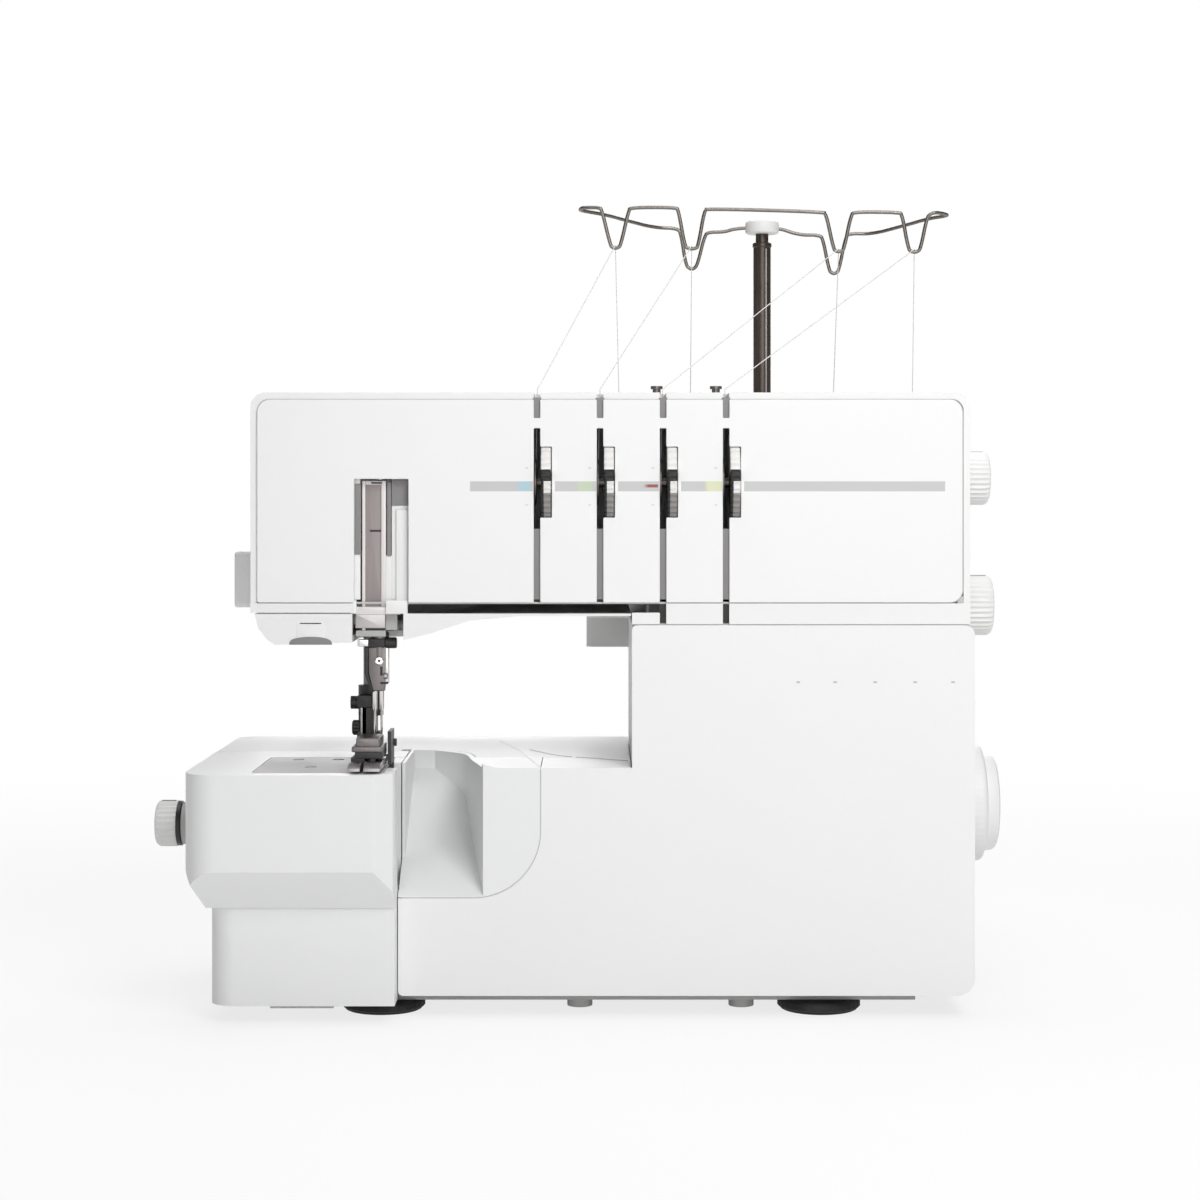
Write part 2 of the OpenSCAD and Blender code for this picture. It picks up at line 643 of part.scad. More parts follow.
module free_arm_body() part(shell_white) difference() {
    union() {
        difference() {
            translate([0, 0, 7]) linear_extrude(arm_top - 7)
                panel_2d([arm_left, arm_front], [arm_right, cover_back], [10, 0, 0, 3]);
            translate([0, 0, 6]) linear_extrude(arm_top - 6 - wall)
                panel_2d([arm_left + wall, arm_front + wall], [arm_right - wall, cover_back - wall],
                    [8, 0, 0, 1]);
        }
        // Tongue under the needle plate
        difference() {
            translate([0, 0, arm_top - wall]) linear_extrude(bed_z - plate_t - arm_top + wall)
                panel_2d([plate_left, plate_front + 0.2], [plate_right, plate_back], [4, 0, 0, 2]);
            translate([0, 0, arm_top - 10]) linear_extrude(bed_z)
                panel_2d([plate_left + wall, plate_front + wall], [plate_right - wall, plate_back - wall],
                    [3, 0, 0, 1]);
        }
        // Wall beside the knives
        box([plate_right + gap, plate_front + 6, arm_top - 1], [arm_right, 1, bed_z - 0.1]);
        box([plate_right + gap, knife_y[1] + 0.5, arm_top - 1], [arm_right, plate_back, bed_z - 0.1]);
        box([plate_right - wall, plate_front + 6, arm_top - 1], [arm_right, 1, bed_z - plate_t - gap]);
        box([plate_right - wall, knife_y[1] + 0.5, arm_top - 1],
            [arm_right, plate_back, bed_z - plate_t - gap]);
    }
    // Room for the loopers, the feed bar and the knife
    box([looper_x - 14 - gap, -4, arm_top - wall - 1], [plate_right - wall, plate_back - wall, arm_top + 1]);
    box([knife_x - 1, knife_y[0], knife_low], [arm_right + 1, knife_y[1], arm_top + 60]);
    box([looper_x - 15, plate_back - wall - 1, arm_top - 4], [plate_right - gap + 0.05, cover_back + 1, arm_top + 1]);
    box([looper_x - 6, plate_back - wall - 1, 76], [looper_x + 6, plate_back + 1, 91]);
    box([looper_x - 15, cover_back - wall - 1, 6], [plate_right, cover_back + 1, arm_top + 1]);
    // Room for the base plate, and for the cover's chin under the tongue
    box([arm_left + wall, base_front - gap, 6], [arm_right + 1, cover_back + 1, base_top]);
    box([plate_left - 1, plate_front - 1, 50], [arm_right + 1, arm_front, arm_top + 2 * gap]);
    // Seat of the lower knife
    box([plate_right - wall - 1, knife_y[0], 70], [plate_right + 1, knife_y[1], bed_z]);
}

module needle_plate() part(steel) difference() {
    translate([0, 0, bed_z - plate_t]) linear_extrude(plate_t)
        panel_2d([plate_left, plate_front], [plate_right, plate_back], [4, 0.5, 0.5, 3]);
    box([each needle_slot[0], bed_z - 9], [each needle_slot[1], bed_z + 1]);
    for (x = feed_rows) box([x - 0.5, needle_y + 6, bed_z - 9], [x + feed_row_w + 0.5, needle_y + 26, bed_z + 1]);
    for (p = plate_screws) rod_z(bed_z - 9, bed_z + 1, p[0], p[1], screw_r);
    box([plate_right - 1.6, knife_y[0], bed_z - 9], [plate_right + 1, knife_y[1], bed_z + 1]);
}

module screws() part(blade) {
    for (p = plate_screws) rod_z(bed_z - plate_t - 3, bed_z - 0.2, p[0], p[1], screw_r - 0.02);
    for (p = rear_screws)
        rod_y(depth + rear_t, depth + rear_t + 1.4, p[0], p[1], 3);
    for (p = foot_places) rod_z(foot_h - 2.2, foot_h, p[0], p[1] + foot_screw_y, 3);
}

module lower_knife() part(blade) box([plate_right - 1.5, knife_y[0] + 0.5, 71],
    [plate_right, knife_y[1] - 0.4, bed_z - 0.1]);

// Curve of the waste chute's right and rear wall in plan, from the front edge to the rear corner
chute_bends = [[-45.6, 0], [-48.2, 13.4], [-51.4, 29.4], [-55, 51.5], [-60, 60.1], [-69, 70]];

// Point at share t of the cubic through b and c, led by a and d
function cubic(a, b, c, d, t) = 0.5 * (2 * b + (c - a) * t + (2 * a - 5 * b + 4 * c - d) * t * t
    + (3 * b - a - 3 * c + d) * t * t * t);

// Smooth curve through bends, with a number of points in each span
function curve(p, per) = [for (i = [0:len(p) - 2]) for (k = [0:per - 1])
    cubic(p[max(i - 1, 0)], p[i], p[i + 1], p[min(i + 2, len(p) - 1)], k / per)];

// Plan of the waste chute's inside, grown sideways and backward, with an open left side
module chute_plan(side, back, left) {
    rear = chute_bends[len(chute_bends) - 1];
    polygon([
        [chute_left - left, -1 - back], [chute_bends[0][0] + side, -1 - back],
        for (p = curve(chute_bends, 4)) p + [side, back * p[1] / rear[1]],
        rear + [side, back], [chute_left - left, rear[1] + back]]);
}

module scoop_2d() panel_2d([cover_right + 0.5, scoop_z], [scoop_right - gap, bed_z], [0, scoop_r, 0, 0]);

module scoop_panel() part(shell_white) {
    difference() {
        union() {
            prism_y(0, door_t) scoop_2d();
            // Bed flange beside the chute, and the chute's body
            box([chute_bends[3][0] + 3, 0, bed_z - wall], [scoop_right - gap, door_flange, bed_z]);
            translate([0, 0, scoop_z]) linear_extrude(bed_z - scoop_z) intersection() {
                chute_plan(chute_t, chute_t, 0);
                translate([chute_left - 12, door_t]) square([100, 100]);
            }
        }
        // Hollow above the ramp
        intersection() {
            translate([0, 0, scoop_z - 20]) linear_extrude(90) chute_plan(0, 0, 1);
            prism_x(chute_left - 12, -40) polygon([[-2, ramp_low - 1.2], [0, ramp_low], [chute_d, ramp_high],
                [chute_d, bed_z + 9], [-2, bed_z + 9]]);
        }
        // Underside of the ramp
        prism_x(chute_left - 12, -20) polygon([[door_t, scoop_z - 1], [door_t, scoop_z],
            [chute_d + 3, ramp_high - 3], [chute_d + 3, scoop_z - 1]]);
    }
    // Left wall behind the knives
    prism_x(chute_left, chute_left + 1.2) polygon([[knife_y[1] + 1, ramp_low + 11.5],
        [chute_d + chute_t, ramp_high + 0.4], [chute_d + chute_t, bed_z], [knife_y[1] + 1, bed_z]]);
}

module front_cover() part(shell_white) difference() {
    union() {
        prism_y(0, door_t) difference() {
            union() {
                panel_2d([col_left, door_low], [door_right, col_top - gap], [0, door_r, 4, 2]);
                panel_2d([cover_right + 0.5, door_low], [col_left + 1, bed_z], [2, 0, 0, 0]);
            }
            offset_scoop_2d();
        }
        // Rim that meets the column, and the bed flange
        box([door_right - 2.3, door_t - 1, door_low + door_r], [door_right, door_back, col_top - 6]);
        box([col_left + 2, door_t - 1, col_top - 3.3], [door_right - 5, door_back, col_top - 0.8]);
        box([scoop_right, 0, bed_z - wall], [col_left - gap, door_flange, bed_z]);
        box([col_left, 0, bed_z], [col_left + wall, door_back, col_top - 4]);
        // Ears on the hinge rod
        for (x = [hinge_lugs[0] + lug_w + gap, hinge_lugs[1] + lug_w + gap]) {
            rod_x(x, x + lug_w, hinge_y, hinge_z, 3.5);
            box([x, door_t - 1, hinge_z - 3.5], [x + lug_w, hinge_y, hinge_z + 3.5]);
        }
    }
    rod_x(-80, door_right - 2, hinge_y, hinge_z, hinge_r + run);
}

// Space that the scoop panel takes in the door
module offset_scoop_2d() panel_2d([cover_right - 1, scoop_z - gap], [scoop_right, bed_z + 1],
    [0, scoop_r + gap, 0, 0]);

module hinge_rod() part(steel) rod_x(hinge_lugs[0] - 2, hinge_lugs[1] + 2 * lug_w + 4, hinge_y, hinge_z, hinge_r);

// Bevel at the cover's right front edge, grown by an amount
module cover_bevel_2d(more) translate([cover_right, -cover_front]) rotate(45)
    square([10 + more, 10 + more], center = true);

module free_arm_cover() part(shell_white) difference() {
    intersection() {
        translate([0, 0, chin_z]) linear_extrude(bed_z - chin_z) difference() {
            panel_2d([cover_left, -cover_front], [cover_right, cover_back], [cover_r, 0, 0, 3]);
            cover_bevel_2d(0);
        }
        prism_x(cover_left - 1, cover_right + 1) polygon([[-cover_front, bed_z + 1], [-cover_front, crease_z],
            [arm_front - gap - 0.5, chin_z], [cover_back, chin_z], [cover_back, bed_z + 1]]);
        prism_y(-cover_front - 1, cover_back + 1) polygon([[cover_left, bed_z + 1], [cover_left, crease_z],
            [arm_left - gap - 0.5, chin_z], [cover_right, chin_z], [cover_right, bed_z + 1]]);
    }
    // Inside, open to the right and downward round the arm
    translate([0, 0, arm_top + gap]) linear_extrude(bed_z - wall - arm_top - gap) difference() {
        panel_2d([cover_left + wall, -cover_front + wall], [cover_right + 1, cover_back - wall],
            [cover_r - wall, 0, 0, 1]);
        // The bevel keeps its wall, but clears the tongue as the cover slides off
        intersection() {
            cover_bevel_2d(2 * wall);
            translate([cover_right - 20, -cover_front]) square([30, cover_front + plate_front - gap]);
        }
    }
    translate([0, 0, chin_z - 1]) linear_extrude(arm_top + gap - chin_z + 1)
        panel_2d([arm_left - gap, arm_front - gap], [cover_right + 1, cover_back + 1], [10, 0, 0, 0]);
    // Rear opening that lets the cover pass the frame's lower arm
    box([looper_x - 14 - gap, cover_back - wall - 1, arm_top], [cover_right + 1, cover_back + 1, bed_z - wall]);
    // Cut-out of the needle plate
    translate([0, 0, bed_z - 9]) linear_extrude(20)
        panel_2d([plate_left - gap, plate_front - gap], [cover_right + 1, plate_back + gap], [4, 0, 0, 3]);
}

// ---------- head front ----------

module face_plate() part("Gray") difference() {
    union() {
        box([face_x[0], face_y[0], face_z[1]], [face_x[1], face_y[1], face_z[3]]);
        box([recess_left + 0.4, face_front, face_z[1]], [recess_right - 3.2, face_y[1], face_z[2]]);
        box([recess_left + 0.4, face_y[0], face_z[0]], [recess_right - 5.2, face_y[1] - 0.6, face_z[1] + 0.1]);
    }
    box([face_x[0] + 1.5, face_y[0] - 1, recess_low], [face_x[1] - 3.5, face_y[0] + 1, face_z[3] - 2.6]);
}

module recess_plate() part(shell_white) {
    box([recess_left - 1.4, wall + gap, recess_low], [face_x[0] - 0.6, 6.2, recess_top + 1]);
    box([face_x[1] + 0.7, wall + 1.5, recess_low], [recess_right + 1.4, 6.2, recess_top + 1]);
    // Backing behind the face plate's foot
    box([recess_left - 0.4, face_y[1] + 0.1, face_z[0] + 0.5],
        [needle_x - needle_bar_r - 2, face_y[1] + 1.1, recess_low]);
}

module tension_units() part(steel) {
    for (x = slots) tension_unit(x);
    // Thread studs on the head's top
    for (x = [slots[2] - 2, slots[3] - 3]) {
        rod_z(head_top, head_top + 2.6, x, 22, 1.6);
        rod_z(head_top + 2.2, head_top + 3.4, x, 22, 2.4);
    }
}

// Stud, discs and bracket of the tension unit at one slot
module tension_unit(x) {
    rod_x(x - 9, x + dial_off + dial_w + 2.2, dial_y, dial_z, stud_r);
    rod_x(x + dial_off + dial_w + 0.4, x + dial_off + dial_w + 1.8, dial_y, dial_z, 4);
    for (d = [-2.6, -1.2]) rod_x(x + d, x + d + 0.8, dial_y, dial_z, disc_r);
    rod_x(x - 1.8, x - 1.2, dial_y, dial_z, 6);
    rod_x(x - 7, x - 2.6, dial_y, dial_z, 4.4);
    box([x - 9, dial_y - 5, dial_z - 6], [x - 7, arm_plate_y, dial_z + 6]);
}

// Ribbed dial number i on its stud
module tension_dial(i) part(shell_white) difference() {
    translate([slots[i] + dial_off, dial_y, dial_z]) rotate([0, 90, 0]) rotate([0, 0, 90])
        linear_extrude(dial_w) ribbed_2d(dial_r, dial_ribs, 0.5);
    rod_x(slots[i] - 9, slots[i] + 9, dial_y, dial_z, stud_r + run);
}

module tension_dial_1() tension_dial(0);
module tension_dial_2() tension_dial(1);
module tension_dial_3() tension_dial(2);
module tension_dial_4() tension_dial(3);

module thread_cutter() part(shell_white) prism_x(head_left - cutter_l, head_left - 0.1)
    panel_2d(cutter_low, cutter_high, [2, 2, 2, 2]);

// ---------- side dials, wheel and switch ----------

// Knob on a shaft along x: shaft from x0 to x1, collar to x2 and ribbed grip to x3
module side_knob(x0, x1, x2, x3, y, z, r, ribs) {
    rod_x(x0, x1, y, z, side_shaft_r);
    rod_x(x1, x2, y, z, r - 1.2);
    translate([x2, y, z]) rotate([0, 90, 0]) linear_extrude(x3 - x2 - 1) ribbed_2d(r, ribs, 0.5);
    rod_x(x3 - 1, x3, y, z, r - 1);
}

module stitch_length_dial() part(shell_white)
    side_knob(frame_end_plate - 6, col_right + gap, col_right + 6, col_right + 18.6, side_dial_y, length_z,
        length_r, 36);

module differential_dial() part(shell_white)
    side_knob(frame_end_plate - 6, col_right + gap, col_right + 5, col_right + 17.4, side_dial_y, feed_z,
        feed_r, 32);

module cutting_width_knob() part(shell_white) mirror([1, 0, 0])
    side_knob(-bed_left - 18, -bed_left + gap, -bed_left + width_l - 9, -bed_left + width_l, knob_y, knob_z,
        width_r, 28);

module handwheel() part(shell_white) {
    difference() {
        rod_x(col_right + 3, wheel_end - 4, shaft_y, shaft_z, wheel_r);
        rod_x(col_right + 2, col_right + 9, shaft_y, shaft_z, shaft_r);
    }
    rod_x(wheel_end - 4, wheel_end - 1.4, shaft_y, shaft_z, wheel_r - 2.4);
    rod_x(wheel_end - 1.4, wheel_end, shaft_y, shaft_z, wheel_r - 7);
}

module main_shaft() part(steel) {
    rod_x(bush_x[0] - 4, col_right + 9, shaft_y, shaft_z, shaft_r);
    rod_x(pulley_x, pulley_x + pulley_w, shaft_y, shaft_z, pulley_r);
    for (x = [pulley_x - flange_t, pulley_x + pulley_w])
        rod_x(x, x + flange_t, shaft_y, shaft_z, pulley_r + 3);
    // Cam that works the feed
    rod_x(bush_x[1] + 6, bush_x[1] + 14, shaft_y, shaft_z, shaft_r + 5);
}

module motor() part(blade) difference() {
    union() {
        rod_x(frame_mid_plate - 8 - motor_l, frame_mid_plate - 8, shaft_y, motor_z, motor_r);
        rod_x(frame_mid_plate - 8, frame_mid_plate, shaft_y, motor_z, motor_r / 2);
    }
    rod_x(frame_mid_plate - 20, frame_mid_plate + 1, shaft_y, motor_z, motor_shaft_r + run);
}

module motor_rotor() part(steel) {
    rod_x(frame_mid_plate - 19, pulley_x + pulley_w + 3, shaft_y, motor_z, motor_shaft_r);
    rod_x(pulley_x, pulley_x + pulley_w, shaft_y, motor_z, motor_pulley_r);
    for (x = [pulley_x - flange_t, pulley_x + pulley_w])
        rod_x(x, x + flange_t, shaft_y, motor_z, motor_pulley_r + 2.4);
}

// Outline round both pulleys, grown by t
module belt_2d(t) {
    big = pulley_r + t;
    small = motor_pulley_r + t;
    span = motor_z - shaft_z;
    lean = asin((big - small) / span);
    translate([shaft_y, shaft_z]) circle(big);
    translate([shaft_y, motor_z]) circle(small);
    polygon([
        [shaft_y + big * cos(lean), shaft_z + big * sin(lean)],
        [shaft_y + small * cos(lean), motor_z + small * sin(lean)],
        [shaft_y - small * cos(lean), motor_z + small * sin(lean)],
        [shaft_y - big * cos(lean), shaft_z + big * sin(lean)]]);
}

module drive_belt() part(rubber_black) prism_x(pulley_x + 0.6, pulley_x + pulley_w - 0.6) difference() {
    belt_2d(belt_t + gap);
    belt_2d(gap);
}

module power_inlet() part(rubber_black) difference() {
    union() {
        box([col_right - 16, inlet_y[0] + gap, inlet_z[0] + gap], [col_right + 0.5, inlet_y[1] - gap, inlet_z[1] - gap]);
        box([col_right + 0.05, inlet_y[0] - 2, inlet_z[0] - 2], [col_right + 1.6, inlet_y[1] + 2, inlet_z[1] + 2]);
    }
    box([col_right - 14, socket_y[0], inlet_z[0] + 4], [col_right + 2, socket_y[1], inlet_z[1] - 4]);
    box([col_right - 14, switch_y - switch_half - 1.4, inlet_z[0] + 3],
        [col_right + 2, switch_y + switch_half + 1.4, inlet_z[1] - 3]);
    rod_z(inlet_z[0] + 1.6, inlet_z[1] - 1.6, switch_x, switch_y, 1.2 + run);
}

// Rocker on a pin along z, with its rear end pressed in at rest
module power_switch() part(rubber_black) translate([switch_x, switch_y, 0]) rotate([0, 0, -switch_tilt]) {
    translate([0, 0, inlet_z[0] + 3 + gap]) linear_extrude(inlet_z[1] - inlet_z[0] - 6 - 2 * gap)
        polygon([[-3, -switch_half + 1.6], [7.8, -switch_half], [6.6, 0], [7.8, switch_half],
            [-3, switch_half - 1.6]]);
    rod_z(inlet_z[0] + 2, inlet_z[1] - 2, 0, 0, 1.2);
}

// ---------- needle, presser and loopers ----------

module needle_bar() part(steel) {
    rod_z(clamp_z[1] - 0.2, head_top - wall - 2.5, needle_x, needle_y, needle_bar_r);
    difference() {
        union() {
            rod_z(pin_z - 4.5, pin_z + 4.5, needle_x, needle_y, needle_bar_r + 1);
            box([needle_x + 2, needle_y - 3.4, pin_z - 4.5], [needle_x + 8, pin_y + 4.4, pin_z + 4.5]);
        }
        box([needle_x + 5.2, needle_y - 5, pin_z - pin_r - 0.4], [needle_x + 9, pin_y + 5, pin_z + pin_r + 0.4]);
        rod_z(pin_z - 9, pin_z + 9, needle_x, needle_y, needle_bar_r - 0.5);
    }
}

module needle_clamp() part(blade) difference() {
    union() {
        rod_z(clamp_z[1], clamp_z[2], needle_x, needle_y, needle_bar_r + 1.4);
        box([needle_x - 3.2, needle_y - 1.7, clamp_z[0]], [needle_x + 1.8, needle_y + 1.7, clamp_z[1] + 0.8]);
        rod_x(needle_x + 3.6, needle_x + 6.8, needle_y, clamp_z[1] + 3.4, 1.6);
        rod_y(needle_y - 3.6, needle_y - 1.2, needle_x - 0.7, clamp_z[0] + 3.5, 1.5);
    }
    rod_z(clamp_z[1] - 0.3, clamp_z[2] + 1, needle_x, needle_y, needle_bar_r);
    for (x = needle_xs) rod_z(clamp_z[0] - 1, clamp_z[1] - 0.1, x, needle_y, needle_shank_r);
}

module needles() part(steel) for (x = needle_xs) {
    rod_z(clamp_z[0] - 5, clamp_z[1] - 0.2, x, needle_y, needle_shank_r);
    rod_z(needle_tip + 5, clamp_z[0] - 5, x, needle_y, blade_r);
    translate([x, needle_y, needle_tip]) cylinder(h = 5, r1 = 0.12, r2 = blade_r);
}

module arm_shaft() part(steel) {
    rod_x(crank_plate_x, frame_left_plate + frame_t + 2, crank_y, crank_z, arm_shaft_r);
    hull() {
        rod_x(crank_plate_x, crank_plate_x + 5, crank_y, crank_z, arm_shaft_r + 3);
        rod_x(crank_plate_x, crank_plate_x + 5, pin_y, pin_z, pin_r + 1.8);
    }
    rod_x(needle_x + 5.6, crank_plate_x + 1, pin_y, pin_z, pin_r);
}

// Looper number i: hub on the pivot pin, arm and curved blade, leaning by an angle
module looper(i, lean, reach) part(steel) difference() {
    union() {
        rod_y(looper_y[i], looper_y[i] + looper_t, looper_x, looper_z, 7);
        prism_y(looper_y[i], looper_y[i] + looper_t) translate([looper_x, looper_z]) rotate(-lean)
            polygon([[-2.5, 4], [2.5, 4], [2.5, reach - 9], [5.5, reach - 2.6], [5, reach], [0, reach - 1],
                [-2.5, reach - 5]]);
    }
    rod_y(looper_y[i] - 1, looper_y[i] + looper_t + 1, looper_x, looper_z, looper_pin_r + run);
}

module lower_looper() looper(0, -10, 56);
module upper_looper() looper(1, 0, 58);

module upper_knife() part(blade) {
    box([knife_x, knife_y[0] + 1.5, bed_z + 1], [knife_x + knife_t, knife_y[1] - 4.3, bed_z + 14]);
    box([knife_x, knife_y[1] - 4.4, 60], [knife_x + knife_t, knife_y[1] - 1, bed_z + 14]);
    rod_x(knife_x + knife_t - 0.1, knife_x + knife_t + 1.1, knife_y[1] - 2.8, bed_z + 8.5, 1.5);
}

module feed_dogs() part(steel) {
    for (x = feed_rows) for (i = [0:7]) prism_x(x, x + feed_row_w) translate([needle_y + 8 + i * 1.6, 0])
        polygon([[0, 88], [1.6, 88], [1.6, bed_z + 0.55], [0.4, bed_z - 0.5], [0, bed_z - 0.5]]);
    box([looper_x - 7, needle_y + 8, 84], [looper_x + 5.4, needle_y + 20.8, 88.1]);
    box([looper_x - 3.1, needle_y + 10, 80], [looper_x + 3.1, 62, 88]);
}

module presser_bar() part(steel) {
    rod_z(118, 232, presser_x, presser_y, presser_r);
    difference() {
        box([presser_x - 5.4, presser_y - 5, collar_z], [presser_x + 4.2, lifter_y + lifter_arm + 4, collar_z + 5]);
        rod_z(collar_z - 1, collar_z + 6, presser_x, presser_y, presser_r - 0.5);
    }
}

module foot_holder() part(blade) difference() {
    union() {
        box([presser_x - 2.6, ankle_y - 3, ankle_z - 3], [presser_x + 2.6, presser_y + 3, 124]);
        rod_z(116, 128, presser_x, presser_y, presser_r + 2);
        rod_x(presser_x - 8, presser_x - 4, presser_y, 121, 2.6);
    }
    rod_z(117.9, 130, presser_x, presser_y, presser_r);
    rod_x(presser_x - 9, presser_x + 9, ankle_y, ankle_z, ankle_r + run);
}

module presser_foot() part(steel) difference() {
    union() {
        // Sole with a raised toe, and a heel round the ankle pin
        prism_x(presser_x - foot_half, foot_right) polygon([[needle_y - toe_len, sole_z + 3.2],
            [needle_y - toe_len + 5, sole_z], [ankle_y, sole_z], [ankle_y, sole_z + 3],
            [needle_y - toe_len + 3, sole_z + 4.4]]);
        intersection() {
            rod_x(presser_x - foot_half, foot_right, ankle_y, ankle_z, ankle_z - sole_z);
            box([presser_x - 5, ankle_y - 1, sole_z - 1], [needle_x + 5, ankle_y + 8, sole_z + 3]);
        }
        for (x = [presser_x - 4.6, presser_x + 3]) {
            rod_x(x, x + 1.6, ankle_y, ankle_z, 3.4);
            box([x, ankle_y - 3.4, sole_z + 1], [x + 1.6, ankle_y + 3.4, ankle_z]);
        }
        rod_x(presser_x - 4.6, presser_x + 4.6, ankle_y, ankle_z, ankle_r);
    }
    // Needle slot
    box([each needle_slot[0], sole_z - 1], [each needle_slot[1], sole_z + 9]);
    // Room for the knife
    box([knife_x - 1.4, 1, sole_z - 1], [knife_x + 9, 20, sole_z + 9]);
}

module lifter_lever() part(blade) difference() {
    union() {
        rod_x(presser_x - 4.6, presser_x + 3.2, lifter_y, lifter_z, 5.4);
        rod_x(presser_x - 4.6, presser_x + 3.2, lifter_y + lifter_arm, lifter_z + lifter_rise, lifter_tip_r);
        prism_x(presser_x - 4.6, presser_x + 3.2) polygon([[lifter_y, lifter_z - 5.4],
            [lifter_y + 60, lifter_z - 12], [depth + 14, lifter_z - 12], [depth + 14, lifter_z - 8],
            [lifter_y + 60, lifter_z - 8], [lifter_y + lifter_arm + 2, lifter_z + lifter_rise - 1],
            [lifter_y, lifter_z + 3]]);
        prism_x(presser_x - 5.4, presser_x + 4.0) polygon([[depth + 10, lifter_z - 12.6],
            [depth + 28, lifter_z - 13.4], [depth + 30, lifter_z - 9], [depth + 10, lifter_z - 7.4]]);
    }
    rod_x(presser_x - 9, presser_x + 9, lifter_y, lifter_z, lifter_pin_r + run);
}

module presser_spring() part(steel) tube([for (i = [0:spring_turns * 16])
    [presser_x + spring_r * cos(i * 22.5), presser_y + spring_r * sin(i * 22.5),
        collar_z + 5.8 + i / (spring_turns * 16) * (guide_z[1] - collar_z - 6.6)]], 0.6, 8);

// ---------- thread stand ----------

module spool_stand() part(shell_white) {
    difference() {
        translate([0, 0, stand_z - stand_t]) linear_extrude(stand_t)
            panel_2d([stand_left, stand_y], [stand_left + stand_w, stand_y + stand_d], [4, 4, 16, 16]);
        translate([0, 0, stand_z - stand_t - 1]) linear_extrude(stand_t + 1 - wall)
            panel_2d([stand_left + wall, stand_y + wall], [stand_left + stand_w - wall, stand_y + stand_d - wall],
                [2, 2, 14, 14]);
        rod_z(stand_z - 9, stand_z + 1, pole_x, pole_y, pole_r);
    }
    // Bracket on the rear cover
    box([30, depth + rear_t + 0.05, stand_z - stand_t - 14], [120, stand_y + 1, stand_z - 2]);
    difference() {
        rod_z(stand_z - stand_t, stand_z + 5, pole_x, pole_y, pole_r + 3);
        rod_z(stand_z - stand_t + 3, stand_z + 6, pole_x, pole_y, pole_r);
    }
    for (i = [0:3]) rod_z(stand_z - 1, stand_z + spool_h, cone_x[i], cone_y[i], pin_post_r);
}

module cone_holders() part("DarkGray") for (i = [0:3]) difference() {
    translate([cone_x[i], cone_y[i], stand_z]) {
        cylinder(h = 2, r = cone_r - 1);
        translate([0, 0, 1.9]) cylinder(h = 24, r1 = 10, r2 = 6);
    }
    rod_z(stand_z - 1, stand_z + 40, cone_x[i], cone_y[i], pin_post_r + 0.1);
}

module thread_cones() part("White") for (i = [0:3]) difference() {
    translate([cone_x[i], cone_y[i], stand_z + 2.1]) cylinder(h = cone_h, r1 = cone_r, r2 = cone_r - 8);
    translate([cone_x[i], cone_y[i], stand_z + 2]) cylinder(h = 24.3, r1 = 10.3, r2 = 6.3);
    translate([cone_x[i], cone_y[i], stand_z + 20]) cylinder(h = 80, r = 4);
}

module pole_outer() part(blade) difference() {
    rod_z(stand_z - stand_t + 3, pole_top, pole_x, pole_y, pole_r);
    rod_z(stand_z - stand_t + 6, pole_top + 1, pole_x, pole_y, mast_r + run);
}

// Guide wire: one closed loop, with four dips in front and two behind, from the pole and wire_z
wire_path = [for (p = [
    [148.5, -42, -1.5], [144, -46, -1.3], [141.5, -46, -1.9], [140, -46, -4], [137.4, -46, -16.4],
    [136, -46, -18.2], [133.4, -46, -18.2], [132, -46, -16.4], [129.4, -46, -2.4], [127.8, -46, -1.3],
    [109.2, -46, -1.1], [107.5, -46, -2.8], [104.6, -46, -16.6], [103.4, -46, -18], [101.2, -46, -18],
    [100, -46, -16.6], [96.9, -46, -2.4], [95.3, -46, -1.1], [46.3, -46, 0.3], [44.7, -46, -0.9],
    [42.1, -46, -15.4], [40.9, -46, -16.8], [37.8, -46, -16.8], [36.3, -46, -15.4], [33.6, -46, -0.6],
    [32.2, -46, 0.8], [13.6, -46, 0.8], [12.2, -46, -0.8], [9, -46, -14.8], [7.7, -46, -16.5],
    [5.5, -46, -16.5], [4.3, -46, -14.8], [0.8, -46, -0.4], [-0.5, -46, 0.8], [-7, -45, 0.9],
    [-8.4, -43, 0.6], [-8.2, -40, 0.2], [2.5, -30, -0.5], [12, -15, -1.4], [24, -2, -2.9],
    [34.6, 0, -3.2], [36.2, 0, -6], [38.3, 0, -19], [40, 0, -21.2], [42, 0, -21.2], [43.6, 0, -19],
    [46.8, 0, -6.5], [48.6, 0, -4.9], [55.4, 0, -4.7], [60, 0, -3.4], [66, 0, -2.9], [79, 0, -2.9],
    [89, 0, -6], [98, 0, -6.2], [99.6, 0, -8.2], [102.3, 0, -21.5], [103.6, 0, -23.2], [105.4, 0, -23.2],
    [106.8, 0, -21.5], [109.8, 0, -7], [111.6, 0, -5.5], [122, 0, -5.5], [133, -17, -4],
    [142.5, -32, -2.4], [149.6, -40, -2]])
    [p[0], pole_y + p[1], wire_z + p[2]]];

module thread_mast() part("Gray") {
    rod_z(stand_z + 40, hub_z - 2, pole_x, pole_y, mast_r);
    difference() {
        rod_z(hub_z - 3, hub_z + 2.6, pole_x, pole_y, 7.5);
        tube(wire_path, wire_r + 0.02, wire_sides, [0, 0, 1], true);
    }
}

module guide_wire() part(steel) tube(wire_path, wire_r, wire_sides, [0, 0, 1], true);

